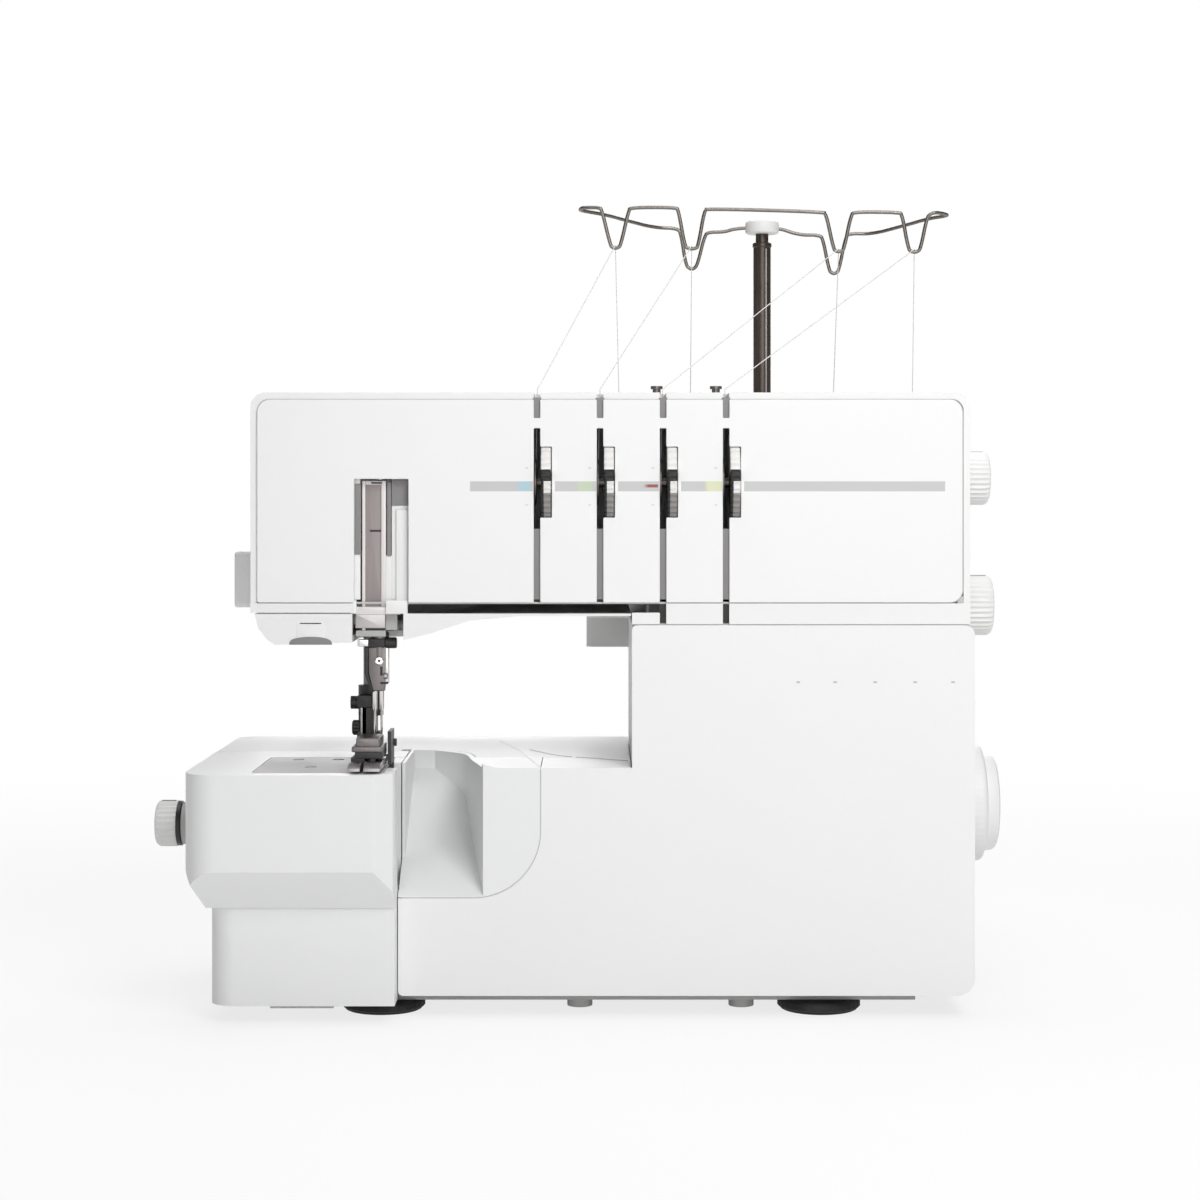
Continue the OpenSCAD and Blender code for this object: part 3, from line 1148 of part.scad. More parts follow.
// Route of thread number i, from its cone through the guide's dip to the tension discs
function thread_path(i) = [
    [cone_x[i], cone_y[i] - cone_r / 2, stand_z + cone_h + 2.4],
    [dip_x[i], dip_y + 0.6, wire_z - dip_drop[i] + wire_r + thread_r + 0.1],
    [dip_x[i], dip_y - 0.6, wire_z - dip_drop[i] + wire_r + thread_r + 0.1],
    [slots[i], 9, head_top + 1.6],
    [slots[i] - 0.6, 11, dial_z + disc_r + 0.4]];

module thread(i) part("White") tube(thread_path(i), thread_r, 8, [1, 0, 0]);
module thread_1() thread(0);
module thread_2() thread(1);
module thread_3() thread(2);
module thread_4() thread(3);

base_plate();
rubber_feet();
main_frame();
shaft_bushes();
column_shell();
rear_cover();
head_shell();
front_panel();
chin_cover();
bed_shell();
free_arm_body();
needle_plate();
screws();
face_plate();
recess_plate();
tension_units();
lamp_lens();
thread_cutter();
motor();
drive_belt();
lower_knife();
power_inlet();
spool_stand();
cone_holders();
thread_cones();
pole_outer();
hinge_rod();
presser_spring();
thread_1();
thread_2();
thread_3();
thread_4();
main_shaft();
handwheel();
motor_rotor();
needle_bar();
needle_clamp();
needles();
arm_shaft();
upper_looper();
lower_looper();
upper_knife();
feed_dogs();
presser_bar();
foot_holder();
presser_foot();
lifter_lever();
tension_dial_1();
tension_dial_2();
tension_dial_3();
tension_dial_4();
stitch_length_dial();
differential_dial();
cutting_width_knob();
thread_mast();
guide_wire();
front_cover();
scoop_panel();
free_arm_cover();
power_switch();
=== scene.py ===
"""Dressed model of a four-thread serger overlock machine.

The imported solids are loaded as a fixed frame. Each sub-assembly is a class that dresses its solids
or stands finer surfaces in their place, in one shared frame, in metres. Sizes below are layout
millimetres: x from the second thread slot, y from the front panel towards the back, z from the floor.
"""

from __future__ import annotations

import logging
import math
from dataclasses import dataclass
from enum import Enum, StrEnum
from typing import Callable, Mapping, Optional, Sequence, Union

import bmesh
import bpy
import numpy as np
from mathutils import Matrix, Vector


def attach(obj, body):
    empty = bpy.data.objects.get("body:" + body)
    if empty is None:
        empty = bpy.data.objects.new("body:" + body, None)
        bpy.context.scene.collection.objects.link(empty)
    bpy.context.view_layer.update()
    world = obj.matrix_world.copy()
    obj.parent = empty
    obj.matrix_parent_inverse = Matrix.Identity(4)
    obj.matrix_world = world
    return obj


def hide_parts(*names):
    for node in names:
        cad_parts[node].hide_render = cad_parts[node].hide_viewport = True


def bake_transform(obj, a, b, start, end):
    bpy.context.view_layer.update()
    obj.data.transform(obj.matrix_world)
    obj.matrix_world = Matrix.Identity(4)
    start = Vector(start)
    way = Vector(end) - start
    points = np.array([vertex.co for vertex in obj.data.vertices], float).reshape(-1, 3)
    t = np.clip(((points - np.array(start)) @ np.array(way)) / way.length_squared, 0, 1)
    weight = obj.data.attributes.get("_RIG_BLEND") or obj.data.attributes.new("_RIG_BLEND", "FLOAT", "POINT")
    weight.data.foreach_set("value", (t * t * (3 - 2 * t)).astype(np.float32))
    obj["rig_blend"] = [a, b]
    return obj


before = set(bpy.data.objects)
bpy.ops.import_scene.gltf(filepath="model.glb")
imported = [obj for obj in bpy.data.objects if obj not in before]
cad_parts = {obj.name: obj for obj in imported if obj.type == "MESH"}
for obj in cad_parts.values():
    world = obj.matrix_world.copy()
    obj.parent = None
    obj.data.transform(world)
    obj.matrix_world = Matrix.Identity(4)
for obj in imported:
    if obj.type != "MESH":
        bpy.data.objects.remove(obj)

LOG = logging.getLogger("serger")
LAYOUT_SHIFT = np.array([10.0, -104.5, 0.0])  # from the layout to the shared frame, in millimetres
MM = 0.001
TIP = 0.02  # radius that closes a turned solid at its axis
SMALL_EDGE = 0.04  # smallest corner radius of an outline
MERGE = 2e-6  # metres within which the points of a solid are one
FLAT_ANGLE = 0.6  # degrees up to which the faces of a solid are one plane
BEVEL_ANGLE = 34.0  # degrees above which an edge of a solid is bevelled
BEVEL_SEGMENTS = 3
STRAND_ANGLE = 80.0  # degrees of an edge that stays sharp on a thread or a wire
SLOT_PITCH = 24.6
SLOTS = (-24.6, 0.0, 24.6, 49.2)
DIAL_AXLE = (14.0, 209.0)
CONES = ((9.0, 165.0), (42.0, 200.0), (108.0, 200.0), (141.0, 165.0))
WIRE_Z = 326.5
Number = Union["Field", float, int]
Rgb = tuple[float, float, float]
Point = tuple[float, float, float]
Place = Sequence[float]
Rows = Sequence[tuple[float, float]]


class Axis(Enum):
    """Direction along which a profile is carried."""

    X = 0
    Y = 1
    Z = 2


class Body(StrEnum):
    """Bodies that pieces ride on; the four tension dials are dial_1 to dial_4."""

    MACHINE = "machine"
    DRIVE = "drive"
    ROTOR = "rotor"
    NEEDLES = "needle_train"
    CRANK = "needle_crank"
    UPPER_LOOPER = "upper_looper_arm"
    LOWER_LOOPER = "lower_looper_arm"
    KNIFE = "knife_slide"
    FEED = "feed"
    PRESSER = "presser"
    FOOT = "foot"
    LIFTER = "lifter"
    LENGTH_DIAL = "length_dial"
    FEED_DIAL = "feed_dial"
    WIDTH_KNOB = "width_knob"
    MAST = "mast"
    DOOR = "door"
    ARM_COVER = "arm_cover"
    ROCKER = "rocker"


# ---- surfaces


def to_frame(points: np.ndarray) -> np.ndarray:
    """Layout millimetres as metres of the shared frame: (points + shift) / 1000."""
    return (np.asarray(points, float) + LAYOUT_SHIFT) * MM


def unit_rows(vectors: np.ndarray) -> np.ndarray:
    """Each vector divided by its own length."""
    return vectors / np.maximum(np.linalg.norm(vectors, axis=-1, keepdims=True), 1e-12)


@dataclass
class Skin:
    """A surface: its points in layout millimetres and its faces."""

    points: np.ndarray
    faces: list[list[int]]

    def turned_outward(self) -> "Skin":
        """Faces reversed where the closed surface's signed volume, the sum of a.(b x c)/6, is negative.

        Returns:
            The skin itself, with its faces pointing outward.
        """
        a, b, c = [], [], []
        for face in self.faces:
            a += [face[0]] * (len(face) - 2)
            b += face[1:-1]
            c += face[2:]
        p = self.points - self.points.mean(0)
        if np.einsum("ij,ij->i", p[a], np.cross(p[b], p[c])).sum() < 0:
            self.faces = [face[::-1] for face in self.faces]
        return self


def loft(rings: np.ndarray, closed: bool = False) -> Skin:
    """Closed skin through rings: point j of ring i is joined to its neighbours by quads.

    Args:
        rings: Array (rings, points, 3) in layout millimetres.
        closed: Whether the last ring joins the first; otherwise flat caps close both ends.

    Returns:
        The outward skin.
    """
    n, m, _ = rings.shape
    i = np.arange(n if closed else n - 1)[:, None]
    j = np.arange(m)[None, :]
    k, l = (i + 1) % n, (j + 1) % m
    quads = np.stack([i * m + j, i * m + l, k * m + l, k * m + j], -1).reshape(-1, 4).tolist()
    if not closed:
        quads.append(list(range(m))[::-1])
        quads.append(list(range((n - 1) * m, n * m)))
    return Skin(rings.reshape(-1, 3), quads).turned_outward()


def place(flat: np.ndarray, axis: Axis, depth: np.ndarray) -> np.ndarray:
    """Puts flat outline points and a depth into x, y, z.

    Args:
        flat: Array (..., 2): (y, z) for Axis.X, (x, z) for Axis.Y, (x, y) for Axis.Z.
        axis: Direction of the depth.
        depth: Array that broadcasts to the points.

    Returns:
        Array (..., 3).
    """
    columns = [flat[..., 0], flat[..., 1]]
    columns.insert(axis.value, np.broadcast_to(depth, flat.shape[:-1]))
    return np.stack(columns, -1)


def rounded_rect(low: Place, high: Place, radii: Sequence[float], steps: int = 8) -> np.ndarray:
    """Rectangle with a quarter circle at each corner: centre + r * (cos, sin), counter-clockwise.

    Args:
        low: Lower left corner.
        high: Upper right corner.
        radii: Radius of the lower left, lower right, upper right and upper left corner.
        steps: Segments in each quarter.

    Returns:
        Array (points, 2).
    """
    r = np.maximum(np.asarray(radii, float), SMALL_EDGE)
    corners = np.array([[low[0], low[1]], [high[0], low[1]], [high[0], high[1]], [low[0], high[1]]], float)
    inward = np.array([[1, 1], [-1, 1], [-1, -1], [1, -1]], float)
    centres = corners + inward * r[:, None]
    start = np.radians([180, 270, 0, 90])
    angle = start[:, None] + np.linspace(0, math.pi / 2, steps + 1)[None, :]
    arc = np.stack([np.cos(angle), np.sin(angle)], -1)
    return (centres[:, None, :] + r[:, None, None] * arc).reshape(-1, 2)


def inset(outline: np.ndarray, distance: float) -> np.ndarray:
    """Outline moved inward by a distance along its corner bisectors.

    Args:
        outline: Counter-clockwise points (n, 2).
        distance: How far each side moves inward.

    Returns:
        Array (n, 2).
    """
    edge = unit_rows(np.roll(outline, -1, 0) - outline)
    normal = np.stack([-edge[:, 1], edge[:, 0]], -1)
    middle = unit_rows(normal + np.roll(normal, 1, 0))
    stretch = 1 / np.maximum((middle * normal).sum(-1, keepdims=True), 0.5)
    return outline + middle * stretch * distance


def slab(outline: np.ndarray, axis: Axis, start: float, end: float, edge: float, steps: int = 3) -> Skin:
    """Outline carried along an axis with a quarter circle at both ends.

    At angle t of the quarter circle the depth is edge * (1 - sin t) from the end and the outline is
    inset by edge * (1 - cos t).

    Args:
        outline: Counter-clockwise points (n, 2).
        axis: Direction in which the outline is carried.
        start: First depth.
        end: Last depth.
        edge: Radius of the rounded edge.
        steps: Segments in each quarter circle.

    Returns:
        The outward skin.
    """
    t = np.linspace(math.pi / 2, 0, steps + 1)
    depth = edge * (1 - np.sin(t))
    shrink = edge * (1 - np.cos(t))
    depths = np.concatenate([start + depth, end - depth[::-1]])
    shrinks = np.concatenate([shrink, shrink[::-1]])
    return loft(np.stack([place(inset(outline, s), axis, np.array(d)) for s, d in zip(shrinks, depths)]))


def block(low: Place, high: Place, radius: float) -> Skin:
    """Box with rounded edges: a rounded rectangle carried along y.

    The ends are rounded by a little less than the radius, so that no face shrinks to a line.

    Args:
        low: Lowest corner.
        high: Highest corner.
        radius: Radius of the edges.

    Returns:
        The outward skin.
    """
    steps = 4
    outline = rounded_rect((low[0], low[2]), (high[0], high[2]), [radius] * 4, steps)
    return slab(outline, Axis.Y, low[1], high[1], radius * 0.98, steps)


def blocks(*rows: Sequence[float], at: Place = (0, 0)) -> list[Skin]:
    """One block for each row of lowest corner, highest corner and radius, moved by at in x and y."""
    shift = np.array([*at, 0, *at, 0], float)
    return [block((row[:6] + shift)[:3], (row[:6] + shift)[3:], row[6]) for row in rows]


@dataclass(frozen=True)
class Ribs:
    """Grip ribs of a turned solid: their number, the depth between them and each row's share of it."""

    count: int
    depth: float
    share: Sequence[float]


def turned(
    rows: Rows, axis: Axis, centre: Place, sides: int, ribs: Optional[Ribs] = None, tips: bool = True
) -> Skin:
    """Profile turned about an axis, with grip ribs where wanted.

    A point of row i at angle t has radius r_i - share_i * depth * (0.5 - 0.5 cos(count * t)) ** 0.6.

    Args:
        rows: Rows (distance along the axis, radius).
        axis: Axis of the turning.
        centre: Point of the axis from which the distances count.
        sides: Points around.
        ribs: Grip ribs, with a share for each row.
        tips: Whether a row of radius TIP before the first and after the last closes the ends.

    Returns:
        The outward skin.
    """
    profile = np.asarray(rows, float)
    if tips:
        profile = np.vstack([[profile[0, 0], TIP], profile, [profile[-1, 0], TIP]])
    t = np.linspace(0, 2 * math.pi, sides, endpoint=False)
    radius = np.repeat(profile[:, 1:2], sides, 1)
    if ribs is not None:
        share = np.pad(np.asarray(ribs.share, float), int(tips))[:, None]
        radius = radius - share * ribs.depth * (0.5 - 0.5 * np.cos(ribs.count * t)) ** 0.6
    first, second = (centre[i] for i in range(3) if i != axis.value)
    flat = np.stack([first + radius * np.cos(t), second + radius * np.sin(t)], -1)
    return loft(place(flat, axis, centre[axis.value] + profile[:, :1]))


def smooth_path(points: np.ndarray, per: int, closed: bool = False) -> np.ndarray:
    """Catmull-Rom curve through points: each span is the cubic set by its two ends and their neighbours.

    Args:
        points: Array (n, 3).
        per: Points in each span.
        closed: Whether the path joins its own start.

    Returns:
        Array (spans * per, 3), plus the last point of an open path.
    """
    p = np.asarray(points, float)
    if closed:
        p0, p1, p2, p3 = np.roll(p, 1, 0), p, np.roll(p, -1, 0), np.roll(p, -2, 0)
    else:
        q = np.concatenate([[2 * p[0] - p[1]], p, [2 * p[-1] - p[-2]]])
        p0, p1, p2, p3 = q[:-3], q[1:-2], q[2:-1], q[3:]
    t = np.linspace(0, 1, per, endpoint=False)[None, :, None]
    p0, p1, p2, p3 = (a[:, None, :] for a in (p0, p1, p2, p3))
    square = (2 * p0 - 5 * p1 + 4 * p2 - p3) * t**2
    cube = (3 * p1 - p0 - 3 * p2 + p3) * t**3
    curve = (0.5 * (2 * p1 + (p2 - p0) * t + square + cube)).reshape(-1, 3)
    return curve if closed else np.concatenate([curve, p[-1:]])


def swept(path: np.ndarray, radius: float, sides: int, reference: Place, closed: bool = False) -> Skin:
    """Round section carried along a path: point + radius * (cos t * u + sin t * v).

    Here u is across the reference direction and the tangent, and v across the tangent and u.

    Args:
        path: Array (n, 3) in layout millimetres.
        radius: Radius of the section.
        sides: Points around.
        reference: Direction that no part of the path follows.
        closed: Whether the path is a loop.

    Returns:
        The outward skin.
    """
    path = np.asarray(path, float)
    if closed:
        tangent = unit_rows(np.roll(path, -1, 0) - np.roll(path, 1, 0))
    else:
        tangent = unit_rows(np.gradient(path, axis=0))
    u = unit_rows(np.cross(np.asarray(reference, float), tangent))
    v = np.cross(tangent, u)
    t = np.linspace(0, 2 * math.pi, sides, endpoint=False)[None, :, None]
    return loft(path[:, None, :] + radius * (np.cos(t) * u[:, None, :] + np.sin(t) * v[:, None, :]), closed)


# ---- shader expressions


class Field:
    """A number socket of a material that takes part in Python expressions."""

    def __init__(self, graph: "Graph", socket: bpy.types.NodeSocket) -> None:
        """Keeps the socket and the graph it belongs to."""
        self.graph = graph
        self.socket = socket

    def _math(self, operation: str, first: Number, second: Number = 0.0) -> "Field":
        """One Math node."""
        return self.graph.node("ShaderNodeMath", {0: first, 1: second}, operation=operation)

    def __add__(self, other: Number) -> "Field":
        """Sum."""
        return self._math("ADD", self, other)

    __radd__ = __add__

    def __sub__(self, other: Number) -> "Field":
        """Difference."""
        return self._math("SUBTRACT", self, other)

    def __rsub__(self, other: Number) -> "Field":
        """Difference with this field taken away."""
        return self._math("SUBTRACT", other, self)

    def __mul__(self, other: Number) -> "Field":
        """Product."""
        return self._math("MULTIPLY", self, other)

    def above(self, limit: float) -> "Field":
        """One where the field is greater than a limit."""
        return self._math("GREATER_THAN", self, limit)

    def between(self, low: float, high: float) -> "Field":
        """One where the field lies between two limits."""
        return self.above(low) * (1 - self.above(high))

    def ease(self, low: float, high: float) -> "Field":
        """Smooth step from zero at low to one at high."""
        ends = {"Value": self, "From Min": low, "From Max": high}
        return self.graph.node("ShaderNodeMapRange", ends, interpolation_type="SMOOTHSTEP")

    def sine(self) -> "Field":
        """Sine of the field."""
        return self._math("SINE", self)

    def remainder(self, step: float) -> "Field":
        """What is left of the field after whole steps are taken away."""
        return self._math("MODULO", self, step)

    def angle(self, other: "Field") -> "Field":
        """Angle in radians whose tangent is this field over the other."""
        return self._math("ARCTAN2", self, other)


class Graph:
    """Node tree of one material, with a Principled shader ready."""

    def __init__(self, name: str) -> None:
        """Makes the material and its shader.

        Args:
            name: Name of the material.
        """
        self.material = bpy.data.materials.new(name)
        self.material.use_nodes = True
        self.tree = self.material.node_tree
        self.tree.nodes.clear()
        self.output = self.tree.nodes.new("ShaderNodeOutputMaterial")
        self.shader = self.tree.nodes.new("ShaderNodeBsdfPrincipled")
        self.tree.links.new(self.shader.outputs[0], self.output.inputs[0])

    def node(
        self, kind: str, inputs: Optional[Mapping] = None, output: Union[int, str] = 0, **settings: str
    ) -> Field:
        """Adds one node.

        Args:
            kind: Blender's node type.
            inputs: Values or fields of the sockets, by name or index.
            output: Name or index of the output wanted.
            **settings: Attributes of the node, set before its inputs.

        Returns:
            The output as a field.
        """
        made = self.tree.nodes.new(kind)
        for key, value in settings.items():
            setattr(made, key, value)
        for key, value in (inputs or {}).items():
            self.feed(made.inputs[key], value)
        return Field(self, made.outputs[output])

    def feed(self, socket: bpy.types.NodeSocket, value: object) -> None:
        """Links a field to a socket, or sets the socket's own value.

        Args:
            socket: Input socket.
            value: Field, number, vector or colour.
        """
        if isinstance(value, Field):
            self.tree.links.new(value.socket, socket)
        elif socket.type == "RGBA" and len(value) == 3:
            socket.default_value = (*value, 1.0)
        else:
            socket.default_value = value

    def place(self) -> Field:
        """Object coordinates."""
        return self.node("ShaderNodeTexCoord", output="Object")

    def axes(self) -> tuple[Field, Field, Field]:
        """Layout x, y and z in millimetres, from the Object coordinates.

        Returns:
            The three fields.
        """
        split = self.tree.nodes.new("ShaderNodeSeparateXYZ")
        self.feed(split.inputs[0], self.place())
        return tuple(Field(self, split.outputs[i]) * 1000.0 - float(LAYOUT_SHIFT[i]) for i in range(3))

    def noise(
        self, scale: float, detail: float = 2.0, stretch: Place = (1, 1, 1), roughness: float = 0.5
    ) -> Field:
        """Noise over the Object coordinates.

        Args:
            scale: Cycles in each metre.
            detail: Number of octaves.
            stretch: Factor of each axis.
            roughness: Strength of the finer octaves.

        Returns:
            The noise, about 0.5.
        """
        where = self.node("ShaderNodeMapping", {"Vector": self.place(), "Scale": tuple(stretch)})
        inputs = {"Vector": where, "Scale": scale, "Detail": detail, "Roughness": roughness}
        return self.node("ShaderNodeTexNoise", inputs)

    def shaded(self, colour: Rgb, bright: Field) -> Field:
        """The colour made brighter or darker by a field."""
        return self.node("ShaderNodeBrightContrast", {"Color": colour, "Bright": bright})

    def blend(self, share: Number, first: object, second: object) -> Field:
        """Mixes two colours, with a share of the second."""
        return self.node("ShaderNodeMix", {0: share, 6: first, 7: second}, 2, data_type="RGBA")

    def bump(self, height: Field, distance: float, strength: float) -> None:
        """Feeds a Bump node to the shader's Normal, with metres of relief for one unit of height."""
        inputs = {"Height": height, "Distance": distance, "Strength": strength}
        self.set("Normal", self.node("ShaderNodeBump", inputs))

    def set(self, name: str, value: object) -> None:
        """Feeds one of the shader's sockets."""
        self.feed(self.shader.inputs[name], value)


# ---- finishes

Rule = Callable[[Graph, Field], Field]


@dataclass(frozen=True)
class Look:
    """A finish: a name, a colour and a kind of surface that its class works out."""

    name: str
    colour: Rgb

    def tinted(self, factor: float, lift: float = 0.0) -> Rgb:
        """The colour times a factor, plus a lift."""
        return tuple(c * factor + lift for c in self.colour)

    def fill(self, g: Graph) -> None:
        """Feeds the shader of the graph."""
        raise NotImplementedError

    def build(self) -> bpy.types.Material:
        """Makes the material.

        Returns:
            The material.
        """
        g = Graph(self.name)
        self.fill(g)
        return g.material


@dataclass(frozen=True)
class Moulded(Look):
    """Moulded plastic: a cloudy tone, a fine grain in the surface and a roughness that drifts."""

    roughness: float = 0.42
    drift: float = 0.05
    grain: float = 0.00004
    grain_scale: float = 1400.0
    cloud: float = 0.03
    coat: float = 0.0
    paint: Optional[Rule] = None

    def fill(self, g: Graph) -> None:
        """Feeds colour, roughness, grain and coat.

        Args:
            g: Graph of the material.
        """
        cloud = g.noise(9.0, 3.0) - 0.5
        speck = g.noise(260.0, 2.0) - 0.5
        tone = g.shaded(self.colour, cloud * self.cloud + speck * (self.cloud * 0.4))
        if self.paint is not None:
            tone = self.paint(g, tone)
        g.set("Base Color", tone)
        g.set("Roughness", self.roughness + (g.noise(38.0, 3.0) - 0.5) * (2 * self.drift))
        grain = g.noise(self.grain_scale, 3.0, roughness=0.6) + g.noise(self.grain_scale * 0.17, 1.0) * 0.5
        g.bump(grain, self.grain, 0.35)
        g.set("Coat Weight", self.coat)
        g.set("Coat Roughness", 0.2)
        g.set("IOR", 1.48)


@dataclass(frozen=True)
class Brushed(Look):
    """Ground or polished metal with fine lines along one axis."""

    roughness: float = 0.28
    lines: float = 2200.0
    along: Axis = Axis.X
    depth: float = 0.00003
    stain: float = 0.12
    metallic: float = 1.0

    def fill(self, g: Graph) -> None:
        """Feeds colour, roughness and relief from noise drawn out along the lines.

        Args:
            g: Graph of the material.
        """
        stretch = [1.0, 1.0, 1.0]
        stretch[self.along.value] = 0.02
        lines = g.noise(self.lines, 3.0, stretch, 0.7)
        patch = g.noise(55.0, 4.0) - 0.5
        g.set("Base Color", g.shaded(self.colour, (lines - 0.5) * 0.1 + patch * self.stain))
        g.set("Roughness", self.roughness + (lines - 0.5) * 0.22 + patch * 0.12)
        g.set("Metallic", self.metallic)
        g.bump(lines, self.depth, 0.4)


@dataclass(frozen=True)
class Cast(Look):
    """Die-cast metal: a pebbled skin with darker pits."""

    roughness: float = 0.55

    def fill(self, g: Graph) -> None:
        """Feeds the pebbles and the pits.

        Args:
            g: Graph of the material.
        """
        pebble = g.noise(420.0, 5.0, roughness=0.65)
        pits = 1 - g.node("ShaderNodeTexVoronoi", {"Vector": g.place(), "Scale": 260.0}).ease(0.02, 0.2)
        g.set("Base Color", g.shaded(self.colour, (pebble - 0.5) * 0.1 - pits * 0.06))
        g.set("Roughness", self.roughness + (pebble - 0.5) * 0.3)
        g.set("Metallic", 0.7)
        g.bump(pebble - pits * 0.4, 0.0002, 0.6)


@dataclass(frozen=True)
class Rubber(Look):
    """Matt rubber with a fine speckle and dusty wear."""

    roughness: float = 0.75

    def fill(self, g: Graph) -> None:
        """Feeds the speckle and the dust.

        Args:
            g: Graph of the material.
        """
        speckle = g.noise(1600.0, 2.0)
        dust = g.noise(90.0, 4.0).ease(0.52, 0.75)
        g.set("Base Color", g.blend(dust * 0.35, self.colour, self.tinted(2.2, 0.02)))
        g.set("Roughness", self.roughness + (speckle - 0.5) * 0.2)
        g.bump(speckle, 0.00012, 0.5)


@dataclass(frozen=True)
class Wound(Look):
    """Thread wound on a cone, or one twisted thread: fine helical ridges."""

    pitch: float = 0.45
    lean: float = 1.0

    def fill(self, g: Graph) -> None:
        """Feeds ridges that repeat with the pitch and lean across x and y.

        Args:
            g: Graph of the material.
        """
        x, y, z = g.axes()
        wave = ((z * (2 * math.pi / self.pitch) + (x + y) * self.lean).sine() + 1) * 0.5
        strand = g.noise(900.0, 3.0, (1, 1, 4))
        g.set("Base Color", g.blend(wave * 0.25 + strand * 0.2, self.colour, self.tinted(0.72)))
        g.set("Roughness", 0.72 + (strand - 0.5) * 0.25)
        g.bump(wave + strand * 0.5, 0.00015, 0.5)


@dataclass(frozen=True)
class Clear(Look):
    """Clear ribbed plastic over the lamp."""

    def fill(self, g: Graph) -> None:
        """Feeds ribs across x, and lets some light through.

        Args:
            g: Graph of the material.
        """
        x, _, _ = g.axes()
        ribs = (x * 3.2).sine() * 0.5 + 0.5
        g.set("Base Color", g.blend(ribs * 0.2, self.colour, self.tinted(0.8)))
        g.set("Roughness", 0.2 + g.noise(300.0) * 0.15)
        g.set("Transmission Weight", 0.35)
        g.bump(ribs, 0.0003, 0.5)


# Coloured ends of the stripe: first and last x, colour.
MARKS: tuple[tuple[float, float, Rgb], ...] = (
    (-33.2, -27.2, (0.42, 0.60, 0.68)),
    (-9.8, -2.8, (0.56, 0.64, 0.48)),
    (16.6, 22.6, (0.30, 0.075, 0.07)),
    (40.2, 47.4, (0.72, 0.73, 0.50)),
)


def paint_panel(g: Graph, tone: Field) -> Field:
    """Paints the grey stripe, its coloured ends beside the slots and the small scale marks.

    Each band is the product of steps in x and z, in layout millimetres. The red end is a thin line.

    Args:
        g: Graph of the front panel.
        tone: The moulded colour.

    Returns:
        The painted colour.
    """
    x, y, z = g.axes()
    front = 1 - y.above(0.6)
    stripe = z.between(205.4, 209.3) * front
    gaps = x.between(-26.2, -17.6)
    beside = x.between(SLOTS[0] - 4.6, SLOTS[0] - 3.4)
    for slot in SLOTS[1:]:
        gaps = gaps + x.between(slot - 1.6, slot + 7.0)
        beside = beside + x.between(slot - 4.6, slot - 3.4)
    tone = g.blend(x.between(-50.7, 134.6) * stripe * (1 - gaps), tone, (0.56, 0.56, 0.56))
    for low, high, colour in MARKS:
        share = x.ease(low, low + 2.4) * (1 - x.above(high))
        red = colour[0] > 2.5 * colour[1]
        tone = g.blend(share * stripe * (z.between(206.9, 208.1) if red else z.above(0.0)), tone, colour)
    ticks = z.between(214.1, 214.9) + z.between(199.8, 200.4)
    return g.blend(ticks * beside * front * 0.35, tone, (0.45, 0.43, 0.42))


def paint_door(g: Graph, tone: Field) -> Field:
    """Paints five small scale marks on the door.

    Args:
        g: Graph of the door.
        tone: The moulded colour.

    Returns:
        The painted colour.
    """
    x, y, z = g.axes()
    row = z.between(130.6, 131.3) * (1 - y.above(0.4))
    marks = x.between(76.6, 78.0)
    for middle in (91.7, 107.3, 122.9, 137.7):
        marks = marks + x.between(middle - 0.7, middle + 0.7)
    return g.blend(row * marks * 0.75, tone, (0.40, 0.36, 0.35))


def paint_dial(g: Graph, tone: Field) -> Field:
    """Paints a tension dial by the angle round its axle, in degrees above the level line to the front.

    The rim has a printed black band from 1 to 15 degrees. It is grey from -60 to -13, painted shade on the
    lower rim that turns downward, and black on its left side below 1, painted shade where the dial sits in
    its slot.

    Args:
        g: Graph of the dials.
        tone: The moulded colour.

    Returns:
        The painted colour.
    """
    x, y, z = g.axes()
    turn = (z - DIAL_AXLE[1]).angle(DIAL_AXLE[0] - y) * (180 / math.pi)
    across = (x + 2 * SLOT_PITCH).remainder(SLOT_PITCH)
    # Printed black band from 1 to 15 degrees, plus painted shade of the slot on the dial's left side below 1
    # degree.
    dark = turn.between(1.0, 15.0) + turn.between(-60.0, 1.1) * (1 - across.above(2.7))
    # Painted shade: the lower rim, from -60 to -13 degrees, is grey where it turns downward.
    tone = g.blend(turn.between(-60.0, -13.0), tone, (0.26, 0.25, 0.245))
    return g.blend(dark, tone, (0.012, 0.011, 0.010))


